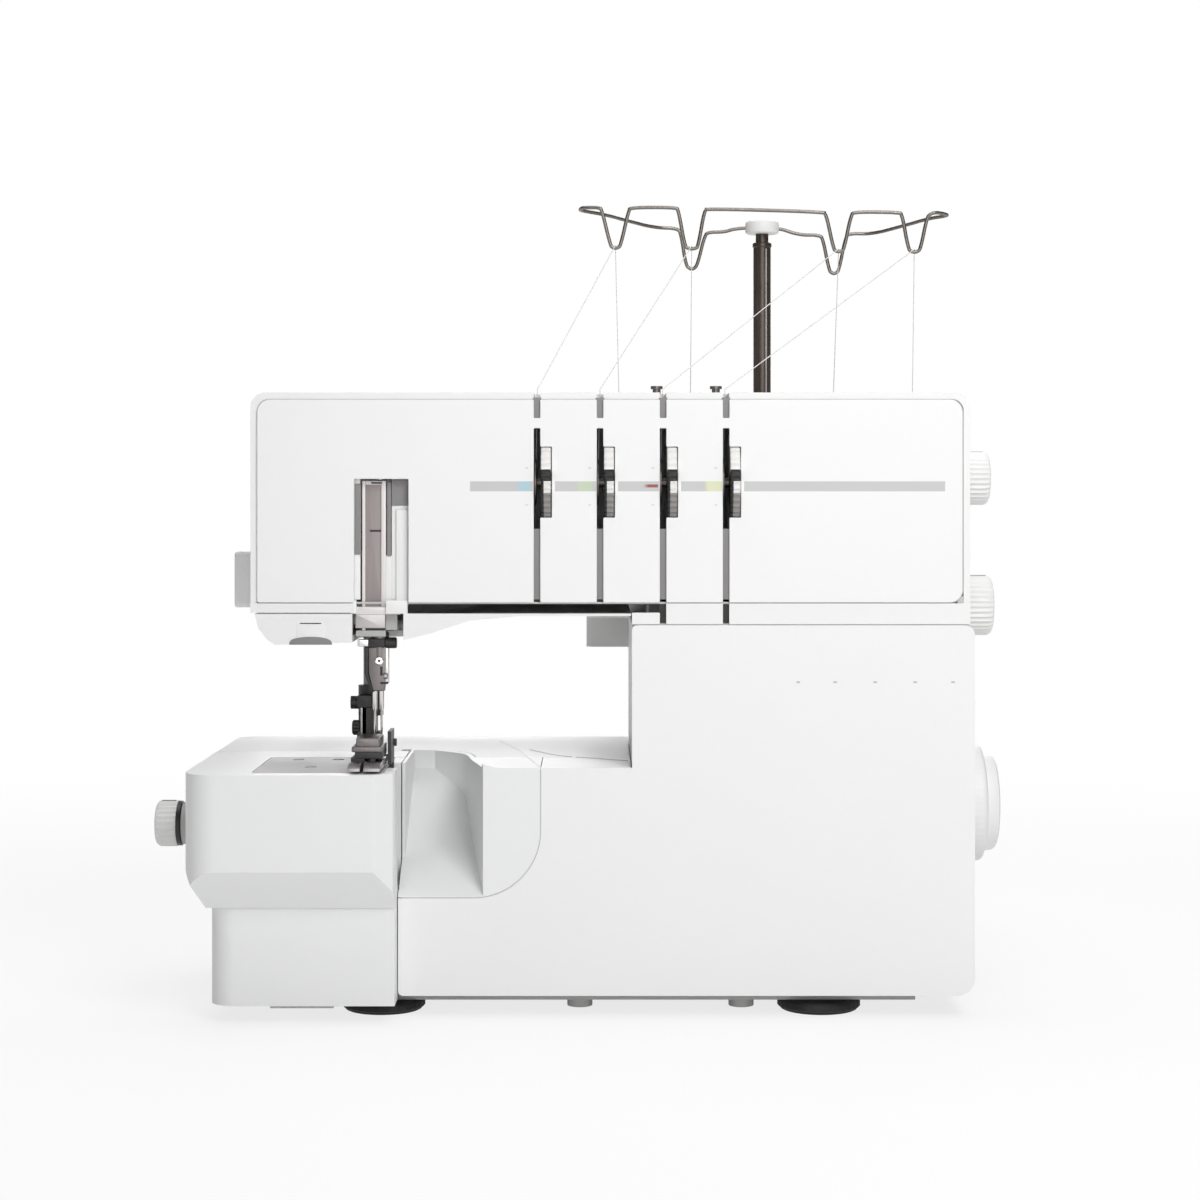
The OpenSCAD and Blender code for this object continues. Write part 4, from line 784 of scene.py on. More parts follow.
class Finishes:
    """All finishes of the machine, built once."""

    def __init__(self) -> None:
        """Builds each material."""
        white: Rgb = (0.86, 0.862, 0.858)
        upright = Axis.Z
        looks = (
            Moulded("shell_white", white),
            Moulded("panel_white", (0.87, 0.872, 0.868), roughness=0.38, coat=0.1, paint=paint_panel),
            Moulded("door_white", white, roughness=0.4, coat=0.1, paint=paint_door),
            Moulded("arm_white", (0.84, 0.843, 0.845), roughness=0.4, coat=0.1),
            Moulded("knob_white", (0.84, 0.84, 0.83), roughness=0.45, grain=0.00006),
            Moulded("dial_white", (0.80, 0.79, 0.78), roughness=0.45, paint=paint_dial),
            Moulded("stand_white", (0.80, 0.80, 0.795), roughness=0.5),
            Moulded("base_grey", (0.52, 0.52, 0.515), roughness=0.6, grain=0.0001),
            Moulded("black_plastic", (0.018, 0.017, 0.016), roughness=0.42, cloud=0.01),
            # Dark sheets in the slots: painted shade.
            Moulded("painted_slot_shade", (0.035, 0.033, 0.031), roughness=0.7, cloud=0.01),
            # Grey of small trims and pointers, also used as painted shade in the shallow slots and the
            # recess.
            Moulded("grey_trim_and_painted_shade", (0.25, 0.24, 0.24), roughness=0.6),
            # Grey lines in seams and grooves: painted shade.
            Moulded("painted_seam_shade", (0.56, 0.555, 0.55), roughness=0.7),
            Moulded("holder_dark", (0.035, 0.034, 0.034), roughness=0.45),
            Moulded("holder_grey", (0.45, 0.45, 0.44), roughness=0.55),
            Brushed("steel", (0.62, 0.60, 0.59), 0.26, along=upright),
            Brushed("chrome", (0.72, 0.70, 0.68), 0.14, stain=0.06, along=upright),
            Brushed("wire_steel", (0.20, 0.18, 0.165), 0.34, stain=0.1, metallic=0.85),
            Brushed("dark_steel", (0.20, 0.185, 0.18), 0.38, along=upright),
            Brushed("foot_steel", (0.42, 0.40, 0.40), 0.34, along=Axis.Y),
            Brushed("plate_steel", (0.50, 0.485, 0.49), 0.5, stain=0.05, lines=900.0, metallic=0.55),
            Brushed("face_steel", (0.30, 0.265, 0.26), 0.42, stain=0.05, along=upright, metallic=0.35),
            # Lighter copy of the face steel: painted highlight on the face plate's edges.
            Brushed("painted_edge_highlight", (0.72, 0.68, 0.68), 0.38, stain=0.04, along=upright, metallic=0.2),
            Brushed("pole_steel", (0.085, 0.068, 0.058), 0.34, stain=0.05, along=upright, metallic=0.7),
            Brushed("bronze", (0.55, 0.36, 0.16), 0.35),
            Cast("casting", (0.40, 0.40, 0.41)),
            Rubber("rubber", (0.012, 0.012, 0.012)),
            Rubber("belt_rubber", (0.02, 0.02, 0.02)),
            Wound("wound_thread", (0.86, 0.86, 0.84)),
            Wound("thread_white", (0.84, 0.83, 0.82), 0.3, 3.0),
            Clear("lamp_clear", (0.80, 0.80, 0.74)),
        )
        self.made = {look.name: look.build() for look in looks}

    def __getitem__(self, name: str) -> bpy.types.Material:
        """The material of that name."""
        return self.made[name]


# ---- pieces


def add_object(name: str, data: bpy.types.ID) -> bpy.types.Object:
    """Makes an object of the data and links it to the scene.

    Args:
        name: Name of the object.
        data: Its mesh, lamp or camera.

    Returns:
        The object.
    """
    made = bpy.data.objects.new(name, data)
    bpy.context.scene.collection.objects.link(made)
    return made


@dataclass
class Kit:
    """What every sub-assembly shares: the finishes and the ways to make a piece."""

    finishes: Finishes

    def piece(
        self,
        name: str,
        looks: Mapping[str, Sequence[Skin]],
        body: str,
        slot: str,
        replaces: Sequence[str] = (),
        smooth: float = 32.0,
    ) -> bpy.types.Object:
        """Args:
            name: Name of the piece.
            looks: Surfaces in each finish, by the finish's name.
            body: Body that carries the piece, or empty where the caller blends it.
            slot: Material slot of the record.
            replaces: Solids that the piece stands for.
            smooth: Angle in degrees above which an edge stays sharp.

        Returns:
            The object.
        """
        points, faces, tones, base = [], [], [], 0
        for index, skins in enumerate(looks.values()):
            for skin in skins:
                points.append(skin.points)
                faces += [[v + base for v in f] for f in skin.faces]
                tones += [index] * len(skin.faces)
                base += len(skin.points)
        mesh = bpy.data.meshes.new(name)
        mesh.from_pydata(to_frame(np.concatenate(points)), [], faces)
        for finish in looks:
            mesh.materials.append(self.finishes[finish])
        mesh.polygons.foreach_set("material_index", np.asarray(tones, np.int32))
        made = add_object(name, mesh)
        self.smooth(mesh, smooth)
        self.declare(made, body, slot, replaces)
        return made

    @staticmethod
    def smooth(mesh: bpy.types.Mesh, angle: float) -> None:
        """Shades a mesh smooth with sharp edges above an angle.

        Args:
            mesh: The mesh.
            angle: Limit in degrees.
        """
        mesh.polygons.foreach_set("use_smooth", np.ones(len(mesh.polygons), bool))
        mesh.set_sharp_from_angle(angle=math.radians(angle))
        mesh.update()

    @staticmethod
    def declare(made: bpy.types.Object, body: str, slot: str, replaces: Sequence[str]) -> None:
        """Lets a piece ride on its body, and hides the solids that it stands for.

        Args:
            made: The piece.
            body: Body that carries it, or empty where the caller blends it.
            slot: Not used.
            replaces: Solids that it stands for.
        """
        if body:
            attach(made, str(body))
        if replaces:
            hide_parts(*replaces)
        LOG.info("%s: %d faces on %s", made.name, len(made.data.polygons), body)

    def dress(self, node: str, finish: str, body: str, slot: str, edge: float) -> None:
        """Stands a merged and bevelled copy of a solid in its place.

        Args:
            node: Name of the solid.
            finish: Name of the finish.
            body: Body that carries it.
            slot: Material slot of the record.
            edge: Width of the bevel in millimetres.
        """
        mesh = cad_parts[node].data.copy()
        mesh.name = f"{node}_skin"
        work = bmesh.new()
        work.from_mesh(mesh)
        bmesh.ops.remove_doubles(work, verts=work.verts, dist=MERGE)
        flat = math.radians(FLAT_ANGLE)
        bmesh.ops.dissolve_limit(work, angle_limit=flat, verts=work.verts, edges=work.edges)
        work.to_mesh(mesh)
        work.free()
        for attribute in [a.name for a in mesh.attributes if a.name == "custom_normal"]:
            mesh.attributes.remove(mesh.attributes[attribute])
        mesh.materials.clear()
        mesh.materials.append(self.finishes[finish])
        made = add_object(mesh.name, mesh)
        self.smooth(mesh, BEVEL_ANGLE)
        bevel = made.modifiers.new("edge", "BEVEL")
        bevel.width = edge * MM
        bevel.segments = BEVEL_SEGMENTS
        bevel.limit_method = "ANGLE"
        bevel.angle_limit = math.radians(BEVEL_ANGLE)
        bevel.use_clamp_overlap = True
        bevel.harden_normals = True
        bevel.miter_outer = "MITER_ARC"
        self.declare(made, body, slot, [node])

    def dress_all(self, *rows: tuple[str, str, str, str, float]) -> None:
        """Dresses one solid for each row of solid, finish, body, slot and bevel."""
        for row in rows:
            self.dress(*row)


# ---- studio


@dataclass
class Studio:
    """Camera, lamps, world and floor, in metres."""

    eye: Point = (0.010, -1.0795, 0.202)
    lens: float = 75.0
    sensor: float = 36.0
    shift: float = -0.0833
    clip: tuple[float, float] = (0.05, 40.0)
    far: float = 9.0
    glow: float = 0.13
    aim: Point = (-0.02, -0.08, 0.16)
    lamps: tuple[tuple[str, Point, float, float], ...] = (
        ("key", (0.32, -0.74, 0.74), 0.36, 4.3),
        ("front", (0.1, -1.7, 0.30), 0.9, 6.6),
        ("top", (0.0, 0.1, 1.5), 1.1, 12.0),
        ("back", (0.2, 1.5, 0.7), 1.2, 11.0),
    )

    def camera(self) -> None:
        """Sets a level camera in front of the machine."""
        data = bpy.data.cameras.new("view")
        data.lens, data.sensor_width, data.shift_y = self.lens, self.sensor, self.shift
        data.clip_start, data.clip_end = self.clip
        made = add_object("view", data)
        made.location = self.eye
        made.rotation_euler = (math.pi / 2, 0, 0)
        bpy.context.scene.camera = made

    def lamp(self, name: str, where: Place, size: float, watts: float) -> None:
        """Adds one square lamp that faces the aim.

        Args:
            name: Name of the lamp.
            where: Its place.
            size: Its side.
            watts: Power.
        """
        data = bpy.data.lights.new(name, "AREA")
        data.shape, data.size, data.energy = "SQUARE", size, watts
        made = add_object(name, data)
        made.location = where
        x, y, z = np.asarray(self.aim, float) - np.asarray(where, float)
        made.rotation_euler = (math.atan2(math.hypot(x, y), -z), 0, math.atan2(y, x) - math.pi / 2)

    @staticmethod
    def seen(g: Graph) -> Field:
        """One for camera, glossy and transmission rays.

        Args:
            g: Graph of a material.

        Returns:
            The field.
        """
        path = g.tree.nodes.new("ShaderNodeLightPath")
        total = Field(g, path.outputs["Is Camera Ray"]) + Field(g, path.outputs["Is Glossy Ray"])
        return (total + Field(g, path.outputs["Is Transmission Ray"])).above(0.5)

    def world(self) -> None:
        """Makes a world that lights softly and shows white."""
        world = bpy.data.worlds.new("studio")
        bpy.context.scene.world = world
        world.use_nodes = True
        tree = world.node_tree
        tree.nodes.clear()
        kinds = ("OutputWorld", "Background", "Background", "MixShader", "LightPath")
        out, light, white, mix, path = (tree.nodes.new(f"ShaderNode{kind}") for kind in kinds)
        for background, strength in ((light, self.glow), (white, 1.0)):
            background.inputs[0].default_value = (1, 1, 1, 1)
            background.inputs[1].default_value = strength
        sources = (path.outputs["Is Camera Ray"], light.outputs[0], white.outputs[0])
        for source, target in zip(sources, mix.inputs):
            tree.links.new(source, target)
        tree.links.new(mix.outputs[0], out.inputs[0])

    def floor(self) -> None:
        """Makes the pale floor, which keeps the machine's shadow and fades to white away from it."""
        mesh = bpy.data.meshes.new("floor")
        far = self.far
        corners = [(-far, -far, 0), (far, -far, 0), (far, far, 0), (-far, far, 0)]
        mesh.from_pydata(corners, [], [[0, 1, 2, 3]])
        made = add_object("floor", mesh)
        g = Graph("floor_pale")
        g.set("Base Color", g.shaded((0.85, 0.85, 0.85), (g.noise(3.0) - 0.5) * 0.02))
        g.set("Roughness", 0.9)
        length = g.node("ShaderNodeVectorMath", {0: g.place()}, "Value", operation="LENGTH")
        glow = g.tree.nodes.new("ShaderNodeEmission")
        glow.inputs[0].default_value = (1, 1, 1, 1)
        mix = g.tree.nodes.new("ShaderNodeMixShader")
        g.feed(mix.inputs[0], self.seen(g) * (0.78 + length.ease(0.25, 0.9) * 0.22))
        g.tree.links.new(g.shader.outputs[0], mix.inputs[1])
        g.tree.links.new(glow.outputs[0], mix.inputs[2])
        g.tree.links.new(mix.outputs[0], g.output.inputs[0])
        mesh.materials.append(g.material)

    def build(self) -> None:
        """Sets up the whole studio."""
        self.camera()
        self.world()
        self.floor()
        for row in self.lamps:
            self.lamp(*row)
        bpy.context.scene.view_settings.view_transform = "Standard"


# ---- threads


@dataclass
class Threads:
    """Four taut threads from their cones through the guide wire to the tension discs.

    The dips are the x of each dip in the wire and how far it hangs below WIRE_Z.
    """

    kit: Kit
    dips: Rows = ((6.6, 16.5), (39.3, 16.8), (102.3, 18.0), (134.7, 18.2))
    radius: float = 0.2

    def route(self, i: int) -> np.ndarray:
        """Points of one thread, straight between its cone, its dip in the wire, its slot and its disc.

        Args:
            i: Number of the thread, from the left.

        Returns:
            Array (points, 3) in layout millimetres.
        """
        cone_x, cone_y = CONES[i]
        dip_x, drop = self.dips[i]
        top = WIRE_Z - drop + 1.1
        corners = np.array(
            [
                [cone_x, cone_y - 10, 230.4],
                [dip_x, 96.6, top],
                [dip_x, 95.4, top],
                [SLOTS[i], 9, 245.6],
                [SLOTS[i] - 0.6, 11, 218.4],
            ]
        )
        spans = (14, 1, 14, 8)
        runs = [np.linspace(corners[k], corners[k + 1], n, endpoint=False) for k, n in enumerate(spans)]
        return np.concatenate([*runs, corners[-1:]])

    def build(self) -> None:
        for i in range(len(CONES)):
            path = self.route(i)
            looks = {"thread_white": [swept(path, self.radius, 6, (1, 0, 0))]}
            name = f"thread_{i + 1}"
            made = self.kit.piece(f"{name}_strand", looks, "", "thread", [name], STRAND_ANGLE)
            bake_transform(made, Body.MACHINE.value, Body.MAST.value, (0, 0, 0.246), (0, 0, 0.3065))
            2 * self.radius * MM


# ---- head


@dataclass
class Head:
    """Upper arm: shell, front panel, chin, thread slots, recess and tension dials."""

    kit: Kit
    liner_end: float = 5.5
    dial_radius: float = 19.0
    dial_width: float = 3.8
    dial_rim: float = 0.5
    dial_offset: float = 1.6

    def shells(self) -> None:
        """Dresses the moulded shells of the head, and makes grey lines of painted shade in the panel's seam
        and along the ledge below it.
        """
        machine = Body.MACHINE
        self.kit.dress_all(
            ("head_shell", "shell_white", machine, "shell", 0.5),
            ("front_panel", "panel_white", machine, "panel", 0.3),
        )
        outline = rounded_rect([-134.0, 161.8], [141.6, 241.35], [1.2, 5.2, 5.2, 5.2])
        path = place(outline, Axis.Y, np.array(1.75))
        ledge = np.array([[12.9, 1.3, 153.33], [80.0, 1.3, 153.33], [144.2, 1.3, 153.33]])
        # Grey lines of painted shade in the panel's seam and along the ledge below it.
        seams = [
            swept(path, 0.42, 8, (0, 1, 0), True),
            block([139.6, 1.6, 161.4], [142.2, 2.4, 164.4], 0.2),
            swept(ledge, 0.3, 8, (0, 1, 0)),
        ]
        self.kit.piece("panel_seam", {"painted_seam_shade": seams}, machine, "shell")
        self.kit.dress_all(
            ("chin_cover", "shell_white", machine, "shell", 0.4),
            ("rear_cover", "shell_white", machine, "shell", 0.4),
        )

    def liners(self) -> None:
        """Lines each slot with painted shade: dark beside the dial and in the lip where the slot is deep,
        shallow and grey above and below.
        """
        # Dark and grey sheets in the slots are painted shade, darker where the slot is deeper.
        deep, shallow = [], []
        for x in SLOTS:
            shallow += blocks(
                (x - 1.7, 1.1, 163.2, x + 1.7, 2.3, 190.8, 0.15),
                (x - 1.7, 1.1, 232.6, x + 1.7, 2.3, 242.0, 0.15),
            )
            if x > 20:
                deep.append(block([x - 1.6, 1.7, 154.0], [x + 1.6, 2.55, 161.9], 0.1))
            for side in (-1.9, 1.5):
                deep.append(block([x + side, 2.6, 190.0], [x + side + 0.4, self.liner_end, 200], 0.1))
        self.kit.piece("slot_liners", {"painted_slot_shade": deep, "grey_trim_and_painted_shade": shallow}, Body.MACHINE, "inner")

    def dials(self) -> None:
        """Makes the four tension dials as ribbed discs.

        The rim at angle a of its quarter circle has radius r - edge + edge * sin a at the depth
        edge * (1 - cos a).
        """
        edge, width = self.dial_rim, self.dial_width
        quarter = np.linspace(0, math.pi / 2, 5)
        rim = [(edge * (1 - math.cos(a)), self.dial_radius - edge + edge * math.sin(a)) for a in quarter]
        rows = rim + [(width - a, r) for a, r in reversed(rim)]
        ribs = Ribs(48, 0.55, [0.3] + [1.0] * (len(rows) - 2) + [0.3])
        for i, x in enumerate(SLOTS, 1):
            disc = turned(rows, Axis.X, (x + self.dial_offset, *DIAL_AXLE), 384, ribs)
            looks = {"dial_white": [disc]}
            self.kit.piece(f"dial_{i}_wheel", looks, f"dial_{i}", "knob", [f"tension_dial_{i}"], 28)

    def recess(self) -> None:
        """Dresses the recess beside the needle bar: the face plate, its strips and the ledge. The light
        strips round the plate are painted highlight, and the grey strips in the walls are painted shade.
        """
        plate = {
            # The light strips along the plate's sides and top, and the bar below it, are painted highlight.
            "painted_edge_highlight": blocks(
                (-93.2, 4.0, 151.0, -91.9, 7.4, 209.6, 0.2),
                (-85.7, 4.0, 157.0, -83.8, 7.4, 209.6, 0.2),
                (-92.2, 4.6, 208.0, -85.2, 7.3, 209.6, 0.2),
                (-95.6, 2.8, 157.2, -78.0, 7.4, 160.3, 0.3),
            ),
            "face_steel": blocks((-92.0, 5.0, 158.0, -85.5, 7.2, 208.4, 0.1)),
            "foot_steel": blocks((-95.8, 3.4, 151.8, -84.0, 7.3, 157.4, 0.25)),
            "holder_grey": blocks(
                (-95.6, 4.2, 148.5, -84.0, 6.6, 150.9, 0.2),
                (-84.1, 5.0, 151.0, -79.4, 7.4, 158.0, 0.3),
            ),
            "black_plastic": blocks(
                (-94.6, 4.6, 150.6, -84.6, 7.0, 152.0, 0.1),
                (-90.2, 4.7, 189.6, -84.8, 5.2, 190.3, 0.1),
                (-89.6, 3.9, 208.4, -85.4, 4.8, 209.0, 0.1),
            ),
        }
        self.kit.piece("face_plate_skin", plate, Body.MACHINE, "chrome", ["face_plate"])
        walls = {
            "shell_white": blocks(
                (-97.4, 3.0, 163.0, -93.8, 6.2, 211.2, 0.2),
                (-97.2, 1.2, 157.6, -95.2, 4.4, 162.8, 0.2),
                (-81.6, 4.0, 163.0, -73.4, 6.2, 211.2, 0.3),
                (-83.6, 1.2, 157.6, -75.2, 3.6, 162.8, 0.2),
                (-79.9, 3.0, 160.5, -75.0, 4.4, 198.4, 0.5),
                (-83.9, 4.2, 159.6, -79.5, 6.2, 180.4, 0.3),
            ),
            # The grey strips beside the face plate and under the recess's top are painted shade.
            "grey_trim_and_painted_shade": blocks(
                (-95.9, 2.7, 180.6, -93.5, 3.2, 208.4, 0.1),
                (-81.6, 3.6, 199.8, -75.0, 4.2, 210.0, 0.2),
                (-83.4, 3.8, 180.0, -81.8, 5.0, 209.0, 0.1),
            ),
        }
        self.kit.piece("recess_skin", walls, Body.MACHINE, "inner", ["recess_plate"])

    def trims(self) -> None:
        """Dresses the lamp with its rim and cover, the tension units and the thread cutter."""
        machine = Body.MACHINE
        self.kit.dress("lamp_lens", "lamp_clear", machine, "lens", 0.2)
        turn = np.linspace(0.0, math.pi, 17)
        arc = np.column_stack([-113.0 + 8.3 * np.cos(turn), 145.5 + 3.1 * np.sin(turn) ** 0.6])
        cover = block([-118.4, 1.02, 148.0], [-107.6, 2.6, 153.6], 0.1)
        looks = {"grey_trim_and_painted_shade": [slab(arc, Axis.Y, 0.8, 2.4, 0.15)], "shell_white": [cover]}
        self.kit.piece("lamp_rim", looks, machine, "lens")
        self.kit.dress("tension_units", "dark_steel", machine, "steel", 0.1)
        starts = [34.6 + 1.7 * k for k in range(7)]
        ribs = blocks(*((-147.4, y, 162.0, -136.8, y + 0.8, 178.0, 0.3) for y in starts))
        cutter = slab(rounded_rect([34, 158.6], [47, 181], [2] * 4), Axis.X, -147.6, -136.6, 0.9)
        looks = {"shell_white": [cutter], "knob_white": ribs}
        self.kit.piece("thread_cutter_skin", looks, machine, "knob", ["thread_cutter"])

    def build(self) -> None:
        """Makes the whole head."""
        self.shells()
        self.liners()
        self.dials()
        self.recess()
        self.trims()


# ---- lower arm, door and back


@dataclass
class LowerArm:
    """Free arm with its sliding cover, the needle plate and the bed."""

    kit: Kit
    door_edge: float = 41.2

    def build(self) -> None:
        """Dresses the shells and the plate of the lower arm."""
        machine = Body.MACHINE
        self.kit.dress_all(
            ("free_arm_cover", "arm_white", Body.ARM_COVER, "shell", 0.9),
            ("free_arm_body", "arm_white", machine, "shell", 0.3),
            ("bed_shell", "shell_white", machine, "shell", 0.5),
            ("column_shell", "shell_white", machine, "shell", 0.4),
        )
        self.lines()
        self.kit.dress("needle_plate", "plate_steel", machine, "plate", 0.25)
        self.screws()

    def lines(self) -> None:
        """Makes the groove, a grey line of painted shade, and the white ridge across the bed, split where
        the door's top begins.
        """
        # The groove is a grey line of painted shade; the ridge is white.
        groove = [[-29.3, 70.7, 97.35], [-16.3, 46.3, 97.35], [0, 34.6, 97.35], [11.2, 26.9, 97.35]]
        ridge = [[-43.4, 109.6, 97.2], [-33.3, 66.5, 97.2], [-28.3, 34.6, 97.2], [-22.8, 0, 97.2]]
        paths = [smooth_path(np.array(line), 10) for line in (groove, ridge)]
        for name, body, side in (("bed_lines", Body.MACHINE, 1), ("door_lines", Body.DOOR, -1)):
            low, high = (path[side * (path[:, 1] - self.door_edge) > 0.2] for path in paths)
            looks = {
                "painted_seam_shade": [swept(low, 0.35, 8, (0, 0, 1))],
                "arm_white": [swept(high, 0.5, 8, (0, 0, 1))],
            }
            self.kit.piece(name, looks, body, "shell")

    def screws(self) -> None:
        """Makes the screws: slotted on the plate and the base, domed with a cross slot at the back."""
        heads, slots = [], []
        for x, y in ((-121.4, 32.0), (-105.4, 32.0), (-113.4, 4.0)):
            rows = [(92.5, TIP), (92.5, 2.3), (97.0, 2.3), (97.25, 2.0), (97.3, TIP)]
            heads.append(turned(rows, Axis.Z, (x, y, 0), 32, tips=False))
            slots.append(block([x - 1.9, y - 0.3, 97.2], [x + 1.9, y + 0.3, 97.34], 0.05))
        rear = ((-122.5, 226), (-122.5, 166), (0, 226), (130.5, 226), (130.5, 30), (28.5, 30), (130.5, 120))
        for x, z in rear:
            rows = [(129.4, TIP), (129.4, 3.0), (130.2, 2.9), (130.7, 2.3), (130.9, 1.2), (130.92, TIP)]
            heads.append(turned(rows, Axis.Y, (x, 0, z), 32, tips=False))
            slots.append(block([x - 1.6, 130.6, z - 0.3], [x + 1.6, 130.96, z + 0.3], 0.05))
            slots.append(block([x - 0.3, 130.6, z - 1.6], [x + 0.3, 130.96, z + 1.6], 0.05))
        for x, y in ((-86, 49.5), (87, 49.5), (-86, 125.5), (87, 125.5)):
            heads.append(turned([(2.5, 2.6), (2.9, 3.0), (4.7, 3.0)], Axis.Z, (x, y, 0), 32))
            slots.append(block([x - 1.8, y - 0.3, 2.46], [x + 1.8, y + 0.3, 2.6], 0.04))
        looks = {"steel": heads, "black_plastic": slots}
        self.kit.piece("screw_heads", looks, Body.MACHINE, "dark_steel", ["screws"])


@dataclass
class Door:
    """Front door with the scoop panel and its hinge."""

    kit: Kit
    seam_right: float = -23.17
    seam_low: float = 46.83
    seam_bend: float = 26.2

    def build(self) -> None:
        """Dresses the door and makes a grey line of painted shade in the seam round the scoop: level, a
        quarter circle and upright.
        """
        self.kit.dress_all(
            ("front_cover", "door_white", Body.DOOR, "shell", 0.6),
            ("scoop_panel", "arm_white", Body.DOOR, "shell", 0.5),
            ("hinge_rod", "steel", Body.MACHINE, "steel", 0.2),
        )
        right, low, bend = self.seam_right, self.seam_low, self.seam_bend
        turn = np.linspace(-math.pi / 2, 0.0, 15)
        arc = np.column_stack([right - bend + bend * np.cos(turn), low + bend + bend * np.sin(turn)])
        flat = np.vstack([[[-77.6, low], [-63.0, low]], arc, [[right, 96.6]]])
        # Grey line of painted shade in the seam round the scoop.
        seam = swept(place(flat, Axis.Y, np.array(0.6)), 0.34, 8, (0, 1, 0))
        self.kit.piece("scoop_seam", {"painted_seam_shade": [seam]}, Body.DOOR, "panel")


# ---- needle group


